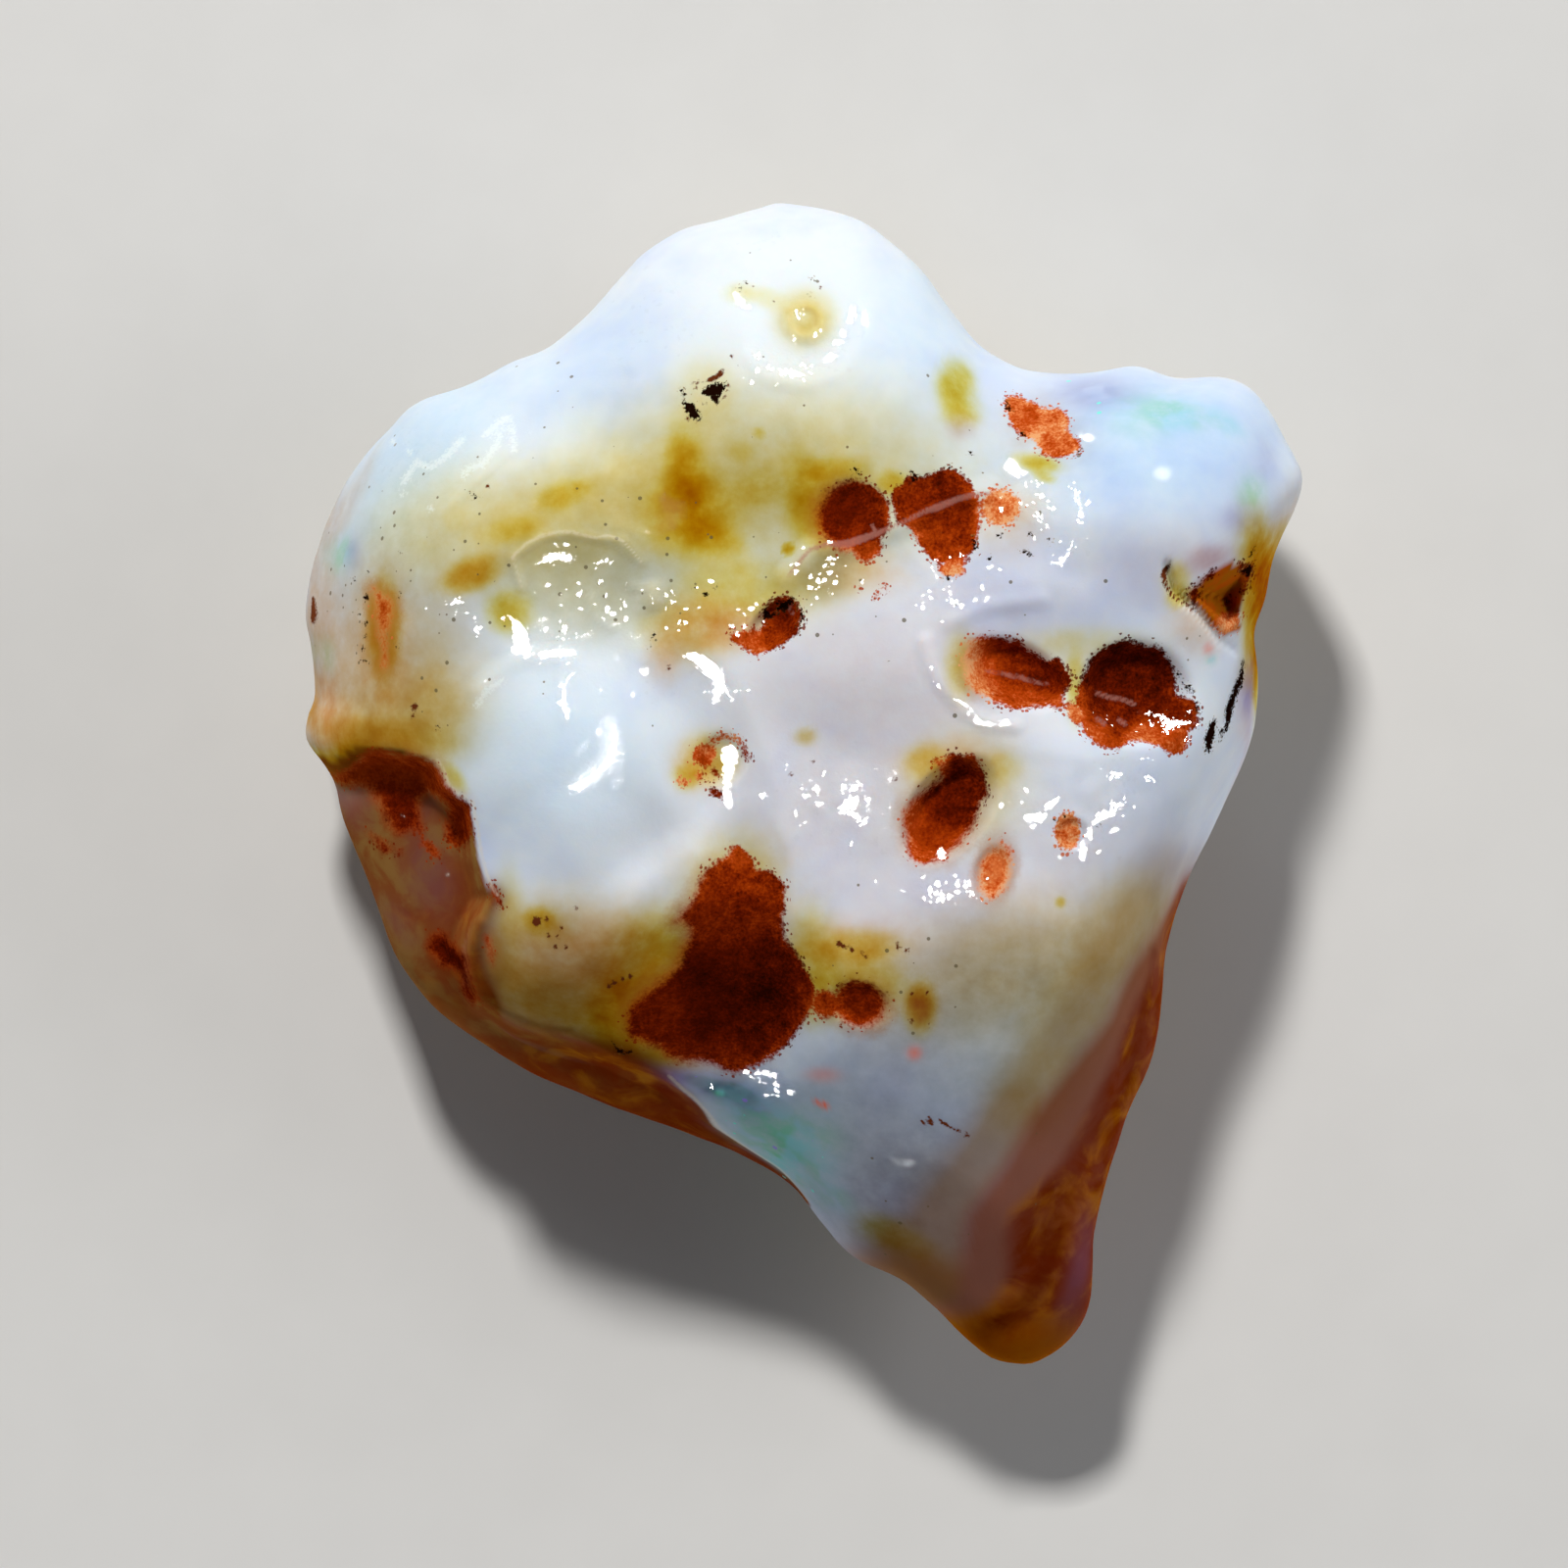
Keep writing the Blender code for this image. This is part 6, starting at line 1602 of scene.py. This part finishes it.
def eased(value, low, high, to_low=0.0, to_high=1.0):
    """A number eased from to_low to to_high while the value goes from low to high."""
    node = tree.nodes.new("ShaderNodeMapRange")
    node.interpolation_type = "SMOOTHSTEP"
    for name, number in zip(("Value", "From Min", "From Max"), (value, low, high)):
        feed(node.inputs[name], number)
    feed(node.inputs["To Min"], to_low)
    feed(node.inputs["To Max"], to_high)
    return node.outputs["Result"]


def over(below, above, strength):
    """One colour laid over another."""
    node = tree.nodes.new("ShaderNodeMix")
    node.data_type = "RGBA"
    feed(node.inputs[0], strength)
    feed(node.inputs[6], below)
    feed(node.inputs[7], above)
    return node.outputs[2]


def stain(name):
    """The number that a field keeps for the place."""
    node = tree.nodes.new("ShaderNodeAttribute")
    node.attribute_name = name
    return node.outputs["Fac"]


def vector_step(operation, a, b=None):
    node = tree.nodes.new("ShaderNodeVectorMath")
    node.operation = operation
    feed(node.inputs[0], a)
    if b is not None:
        feed(node.inputs["Scale" if operation == "SCALE" else 1], b)
    return node.outputs[0]


place = vector_step("SCALE", tree.nodes.new("ShaderNodeTexCoord").outputs["Object"], 1.0 / MM)


def cloudy(per_mm, detail=2.0, roughness=0.5, warp=0.0):
    """Random clouds, from 0 to 1, with this many to the millimetre."""
    node = tree.nodes.new("ShaderNodeTexNoise")
    feed(node.inputs["Vector"], place)
    feed(node.inputs["Scale"], per_mm)
    feed(node.inputs["Detail"], detail)
    feed(node.inputs["Roughness"], roughness)
    feed(node.inputs["Distortion"], warp)
    return node.outputs["Fac"]


def grains(per_mm):
    """The distance to the nearest of many random grains, and a random number for each."""
    node = tree.nodes.new("ShaderNodeTexVoronoi")
    feed(node.inputs["Vector"], place)
    feed(node.inputs["Scale"], per_mm)
    parts = tree.nodes.new("ShaderNodeSeparateColor")
    feed(parts.inputs[0], node.outputs["Color"])
    return node.outputs["Distance"], parts.outputs[0], parts.outputs[1]


wisps = cloudy(0.45, detail=3.0, roughness=0.55, warp=0.4)
ragged = sum_up("SUBTRACT", cloudy(4.5, detail=4.0, roughness=0.65), 0.5)
grit = sum_up("SUBTRACT", cloudy(17.0, detail=3.0, roughness=0.6), 0.5)
fine = cloudy(2.2, detail=4.0, roughness=0.6)


def stained(below, name, tint, uneven):
    """The colour seen through a stain, whose depth is broken up by wisps."""
    wisp = times_plus(sum_up("SUBTRACT", fine, 0.5), uneven, 1.0)
    depth = larger(times(stain(name), wisp), 0.0)
    left = tree.nodes.new("ShaderNodeCombineColor")
    for socket, part in zip(left.inputs, tint):
        feed(socket, sum_up("POWER", part, depth))
    node = tree.nodes.new("ShaderNodeMix")
    node.data_type = "RGBA"
    node.blend_type = "MULTIPLY"
    feed(node.inputs[0], 1.0)
    feed(node.inputs[6], below)
    feed(node.inputs[7], left.outputs[0])
    return node.outputs[2]


def covered(name, uneven, soft):
    """How much a marking covers, from its millimetres inside, roughened by grit."""
    rough_inside = times_plus(grit, uneven, stain(name))
    return eased(rough_inside, -soft, soft)


frost = times_plus(stain("frost"), 0.35, wisps)
colour = over(MILK_BLUE, MILK_WHITE, eased(frost, 0.35, 0.85))
colour = stained(colour, "clear", CLEAR_AND_SHADE_TINT, 0.8)
colour = stained(colour, "blue", BLUE_TINT, 0.8)
colour = stained(colour, "peach", PEACH_TINT, 1.6)

# The brown, mauve and amber opal where the skin is broken off, streaked along the wall.
colour = over(colour, TAN_BROWN, times(stain("tan"), TAN_COVER))
bark_clouds = cloudy(1.1, detail=4.0, roughness=0.6, warp=0.5)
bark = over(FLANK_BROWN, FLANK_OLIVE, eased(bark_clouds, 0.4, 0.65))
amber_clouds = cloudy(0.9, detail=4.0, roughness=0.55, warp=0.8)
amber = over(AMBER_BROWN, HONEY, eased(amber_clouds, 0.45, 0.75))
streaks = eased(cloudy(1.4, detail=4.0, roughness=0.6, warp=0.6), 0.3, 0.75, 0.45, 1.0)
for name, shade, strength in [
    ("flank", bark, 1.0),
    ("tip", over(FLANK_BROWN, FLANK_OLIVE, 0.5), 0.9),
    ("mauve", MAUVE_BROWN, 1.0),
    ("amber", amber, eased(streaks, 0.4, 1.0, 0.8, 1.0)),
    ("honey", HONEY, eased(streaks, 0.4, 1.0, 0.7, 1.0)),
    ("pink", PINK_BROWN, streaks),
    ("burnt", BURNT_BROWN, streaks),
]:
    colour = over(colour, shade, times(stain(name), strength))
colour = stained(colour, "lilac", LILAC_TINT, 1.0)
colour = stained(colour, "iron", IRON_TINT, 1.0)
colour = stained(colour, "ochre", OCHRE_TINT, 1.8)
colour = over(colour, over(CAVITY_BROWN, CAVITY_OLIVE, eased(fine, 0.4, 0.6)), stain("cavity"))

drift = cloudy(1.2, detail=2.0, roughness=0.5, warp=0.3)
under_stain = eased(stain("violet fire"), 0.55, 0.95)
for name, shade, strength in [
    ("violet fire", over(VIOLET, NAVY, under_stain), eased(drift, 0.3, 0.6, 0.6, 1.0)),
    ("teal fire", over(TEAL, GREEN, eased(drift, 0.42, 0.6)), eased(fine, 0.3, 0.6, 0.5, 0.9)),
    ("ember fire", EMBER, 1.0),
]:
    colour = over(colour, shade, times(stain(name), strength))
flake_distance, flake_chance, flake_turn = grains(5.0)
flake = is_less(flake_distance, eased(flake_turn, 0.0, 1.0, 0.1, 0.3))
burning = larger(stain("teal fire"), stain("violet fire"))
lit = is_less(flake_chance, times(burning, FLAKE_SHARE))
flake_colour = over(FLAKE_GREEN, FLAKE_VIOLET, eased(flake_chance, 0.05, 0.07))
colour = over(colour, flake_colour, times(times(flake, lit), FLAKE_COVER))

# Tiny dark specks, more of them where the specks field is higher.
speck_distance, speck_chance, speck_size = grains(3.6)
there = is_less(speck_chance, times(stain("specks"), SPECK_SHARE))
round_speck = is_less(speck_distance, eased(speck_size, 0.3, 1.0, 0.08, 0.17))
colour = over(colour, SPECK, times(there, times(round_speck, SPECK_COVER)))

# Rust, with a ragged edge and dark grains at it, or a soft amber edge.
soft = stain("soft edge")
unevenness_of_edge = times_plus(ragged, 0.24, times(grit, 0.2))
rust_inside = sum_up("ADD", stain("rust"), unevenness_of_edge)
fringe = times(eased(rust_inside, -0.34, -0.02), times(soft, FRINGE_COVER))
bared = larger(stain("flank"), stain("tip"))
fringe = times(fringe, eased(bared, 0.0, 1.0, 1.0, 0.0))
colour = over(colour, FRINGE_OCHRE, fringe)
rust_cover = eased(
    rust_inside,
    times_plus(soft, -0.08, -0.03),
    times_plus(soft, 0.2, 0.04))
dot_distance, dot_chance, dot_tone = grains(12.0)
dots_reach = times(eased(stain("rust"), -0.16, 0.02), eased(soft, 0.0, 0.8, 0.75, 0.03))
dots_reach = times(dots_reach, eased(stain("rust"), 0.04, 0.16, 1.0, 0.12))
round_dot = is_less(dot_distance, eased(dot_tone, 0.0, 1.0, 0.3, 0.52))
dot = times(is_less(dot_chance, dots_reach), round_dot)
mottle = sum_up("SUBTRACT", cloudy(1.3, detail=3.0, roughness=0.6), 0.5)
# The tone holds the rust's own changes and the pits' painted shade.
tone = times_plus(mottle, 0.4, stain("rust tone and pit shade"))
mottles = times_plus(ragged, 0.7, times(grit, 0.7))
tone = sum_up("ADD", tone, times(mottles, eased(soft, 0.0, 1.0, 1.0, 0.6)))
thin_edge = eased(rust_inside, 0.0, 0.26, 1.0, 0.0)
thin_edge = times(thin_edge, times_plus(soft, 0.3, 0.1))
tone = sum_up("SUBTRACT", tone, thin_edge)
tone = sum_up("ADD", tone, times(dot, 0.1))
ramp = tree.nodes.new("ShaderNodeValToRGB")
feed(ramp.inputs[0], sum_up("DIVIDE", tone, DARKEST_TONE))
stops = ramp.color_ramp.elements
stops.remove(stops[1])
for number, (at, shade) in enumerate(RUST_COLOURS):
    stop = stops[0] if number == 0 else stops.new(at / DARKEST_TONE)
    stop.position = at / DARKEST_TONE
    stop.color = (*shade, 1.0)
rust_cover = larger(rust_cover, times(dot, DOT_COVER))
colour = over(colour, ramp.outputs[0], rust_cover)

crest_cover = covered("crest line", 0.09, 0.03)
rim_highlight_cover = covered("rim highlight line", 0.05, 0.025)
# Pale painted highlights on the fine wrinkles.
colour = over(colour, WRINKLE_HIGHLIGHT_PALE, times(covered("wrinkle", 0.3, 0.05), WRINKLE_HIGHLIGHT_COVER))
colour = over(colour, CREST_PINK, times(crest_cover, CREST_COVER))
# A pale painted highlight along the sharp edges.
colour = over(colour, RIM_HIGHLIGHT_PALE, times(rim_highlight_cover, RIM_HIGHLIGHT_COVER))
colour = over(colour, GRAIN_BROWN, covered("brown grains", 0.12, 0.02))
crumbs = times_plus(grit, 0.5, sum_up("ADD", stain("soot"), -0.02))
colour = over(colour, CRUMB_BROWN, times(eased(crumbs, -0.02, 0.03), CRUMB_COVER))
soot_and_shadow_inside = times_plus(grit, 0.22, times_plus(ragged, 0.12, stain("soot")))
soot_and_shadow_cover = eased(soot_and_shadow_inside, -0.015, 0.02)
# Soot, and painted shadow in the small deep pit and the cracks.
colour = over(colour, SOOT_AND_SHADOW_BLACK, soot_and_shadow_cover)
feed(shader.inputs["Base Color"], colour)

# The skin is smooth over the milk, grainy in the rust and a little frosted on the crown.
SKIN_ROUGHNESS, FROST_ROUGHNESS, ROUGHER_IN_RUST, ROUGHER_IN_GRIT = 0.24, 0.36, 0.4, 0.12
RUST_GRAIN, SKIN_GRAIN, FROST_GRAIN, ROLLING = 0.016, 0.002, 0.006, 0.008  # heights
roughness = eased(stain("frost"), 0.0, 1.0, SKIN_ROUGHNESS, FROST_ROUGHNESS)
roughness = times_plus(rust_cover, ROUGHER_IN_RUST, roughness)
feed(shader.inputs["Roughness"], times_plus(grit, ROUGHER_IN_GRIT, roughness))

grain_height = times_plus(rust_cover, RUST_GRAIN, SKIN_GRAIN)
grainy = times(sum_up("ADD", grit, ragged), grain_height)
frosty = times(cloudy(7.0, detail=2.0), times(stain("frost"), FROST_GRAIN))
rolling = times(cloudy(1.6, detail=1.0), ROLLING)
bump = tree.nodes.new("ShaderNodeBump")
feed(bump.inputs["Strength"], 1.0)
feed(bump.inputs["Distance"], MM)
feed(bump.inputs["Height"], sum_up("ADD", grainy, sum_up("ADD", frosty, rolling)))
feed(shader.inputs["Normal"], bump.outputs[0])

# The wet film over the skin leans one way in the glints, and follows the skin elsewhere.
GLINT_LEAN = (-0.085, 0.339, 1.0)
WETNESS_IN_RUST = 0.4
GLINT_SHRINKAGE = 0.04
SPARKLE_SHARE, SPARKLE_COVER = 2.0, 0.9
FAINT_GLINT_COVER = 0.06
FILM_ROUGHNESS, FILM_IOR = 0.03, 1.5
jagged = sum_up("SUBTRACT", cloudy(15.0, detail=2.0, roughness=0.6), 0.5)
glint_inside = times_plus(jagged, 0.3, times_plus(grit, 0.18, stain("glint")))
glint_cover = eased(sum_up("SUBTRACT", glint_inside, GLINT_SHRINKAGE), -0.012, 0.012)
sparkle_distance, sparkle_chance, sparkle_size = grains(7.5)
sparkling = is_less(sparkle_chance, times(stain("sparkle"), SPARKLE_SHARE))
sparkle_reach = eased(sparkle_size, 0.0, 1.0, 0.2, 0.48)
sparkle_rim = sum_up("SUBTRACT", sparkle_reach, times_plus(jagged, 1.2, sparkle_distance))
sparkle = times(sparkling, eased(sparkle_rim, -0.02, 0.05))
glint_cover = larger(glint_cover, times(sparkle, SPARKLE_COVER))
glint_cover = times(glint_cover, eased(soot_and_shadow_cover, 0.0, 1.0, 1.0, 0.0))
faint_glint = stain("faint glint")
leaning = larger(glint_cover, eased(faint_glint, 0.02, 0.1))
film = tree.nodes.new("ShaderNodeMix")
film.data_type = "VECTOR"
feed(film.inputs[0], leaning)
feed(film.inputs[4], bump.outputs[0])
feed(film.inputs[5], vector_step("NORMALIZE", GLINT_LEAN))
feed(shader.inputs["Coat Normal"], vector_step("NORMALIZE", film.outputs[1]))
film_weight = times(stain("wet"), eased(rust_cover, 0.0, 1.0, 1.0, WETNESS_IN_RUST))
film_weight = times(film_weight, eased(soot_and_shadow_cover, 0.0, 1.0, 1.0, 0.0))
film_weight = larger(film_weight, times(faint_glint, FAINT_GLINT_COVER))
feed(shader.inputs["Coat Weight"], larger(film_weight, glint_cover))
shader.inputs["Coat Roughness"].default_value = FILM_ROUGHNESS
shader.inputs["Coat IOR"].default_value = FILM_IOR

# Light scatters far in the milk and hardly in the rust and soot.
MILK_SCATTER, RUST_SCATTER = 0.9, 0.03
SCATTER_DEPTH = 0.35
SCATTER_BY_COLOUR = (1.0, 0.75, 0.6)
OPAL_IOR = 1.45
dry = larger(rust_cover, soot_and_shadow_cover)
feed(shader.inputs["Subsurface Weight"], eased(dry, 0.0, 1.0, MILK_SCATTER, RUST_SCATTER))
shader.inputs["Subsurface Radius"].default_value = SCATTER_BY_COLOUR
shader.inputs["Subsurface Scale"].default_value = SCATTER_DEPTH * MM
shader.inputs["IOR"].default_value = OPAL_IOR
shader.inputs["Specular IOR Level"].default_value = 0.0

stone_mesh.materials.append(milk_opal)
stone = bpy.data.objects.new("opal_stone", stone_mesh)
bpy.context.scene.collection.objects.link(stone)
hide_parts("opal")
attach(stone, "root")


# The floor, the lights and the camera
# A plain pale table, seen straight down onto the stone's face. One small bright lamp beyond the
# crown gives the wet glints, and a soft box at the right fills in the shade.

FLOOR_HALF_WIDTH = 1.5
FLOOR_PALE = (0.74, 0.73, 0.71)
FLOOR_SHADE = (0.70, 0.69, 0.67)
FLOOR_ROUGHNESS = 0.7

floor_mesh = bpy.data.meshes.new("floor")
corners = [(-1, -1), (1, -1), (1, 1), (-1, 1)]
floor_points = [(a * FLOOR_HALF_WIDTH, b * FLOOR_HALF_WIDTH, 0.0) for a, b in corners]
floor_mesh.from_pydata(floor_points, [], [(0, 1, 2, 3)])
floor = bpy.data.objects.new("floor", floor_mesh)
bpy.context.scene.collection.objects.link(floor)
paper = bpy.data.materials.new("pale_paper")
paper.use_nodes = True
tree = paper.node_tree
place = vector_step("SCALE", tree.nodes.new("ShaderNodeTexCoord").outputs["Object"], 1.0 / MM)
paper_shader = tree.nodes["Principled BSDF"]
feed(paper_shader.inputs["Base Color"], over(FLOOR_PALE, FLOOR_SHADE, cloudy(0.5, detail=3.0)))
feed(paper_shader.inputs["Roughness"], FLOOR_ROUGHNESS)
floor_mesh.materials.append(paper)


def area_lamp(name, place, size, energy, colour):
    """A square lamp that faces the stone."""
    data = bpy.data.lights.new(name, "AREA")
    data.size = size
    data.energy = energy
    data.color = colour
    lamp = bpy.data.objects.new(name, data)
    lamp.location = place
    lamp.rotation_euler = (-Vector(place)).to_track_quat("-Z", "Y").to_euler()
    bpy.context.scene.collection.objects.link(lamp)


# Each lamp: name, place, size, energy and colour.
for lamp in [
    ("lamp beyond the crown", (-0.06, 0.24, 0.32), 0.045, 1.35, (1.0, 0.99, 0.97)),
    ("soft box at the right", (0.40, 0.05, 0.22), 0.25, 0.5, (0.96, 0.98, 1.0)),
]:
    area_lamp(*lamp)

# The room is pale low down and dim overhead, so that level wet opal doesn't mirror a white ceiling.
ROOM_PALE = (0.93, 0.96, 1.0)
ROOM_DIM = (0.05, 0.05, 0.055)
DIM_ABOVE = (0.25, 0.75)  # from this share of the way up to this one
ROOM_STRENGTH = 0.5

world = bpy.data.worlds.new("studio")
world.use_nodes = True
bpy.context.scene.world = world
tree = world.node_tree
direction = tree.nodes.new("ShaderNodeSeparateXYZ")
feed(direction.inputs[0], tree.nodes.new("ShaderNodeTexCoord").outputs["Generated"])
background = tree.nodes["Background"]
feed(background.inputs["Color"], over(ROOM_PALE, ROOM_DIM, eased(direction.outputs["Z"], *DIM_ABOVE)))
feed(background.inputs["Strength"], ROOM_STRENGTH)
bpy.context.scene.view_settings.view_transform = "Standard"

CAMERA_HEIGHT = 0.6
CAMERA_SENSOR = 36.0
CAMERA_NEAREST = 0.01
PICTURE_WIDTH = 0.032  # of the stone's world, across the picture at its widest line
PICTURE_MIDDLE = (-0.39 * MM, 0.0)

camera_data = bpy.data.cameras.new("camera")
camera_data.sensor_width = CAMERA_SENSOR
camera_data.lens = CAMERA_SENSOR * (CAMERA_HEIGHT - GIRTH_HEIGHT * MM) / PICTURE_WIDTH
camera_data.clip_start = CAMERA_NEAREST
camera = bpy.data.objects.new("camera", camera_data)
camera.location = (*PICTURE_MIDDLE, CAMERA_HEIGHT)
bpy.context.scene.collection.objects.link(camera)
bpy.context.scene.camera = camera
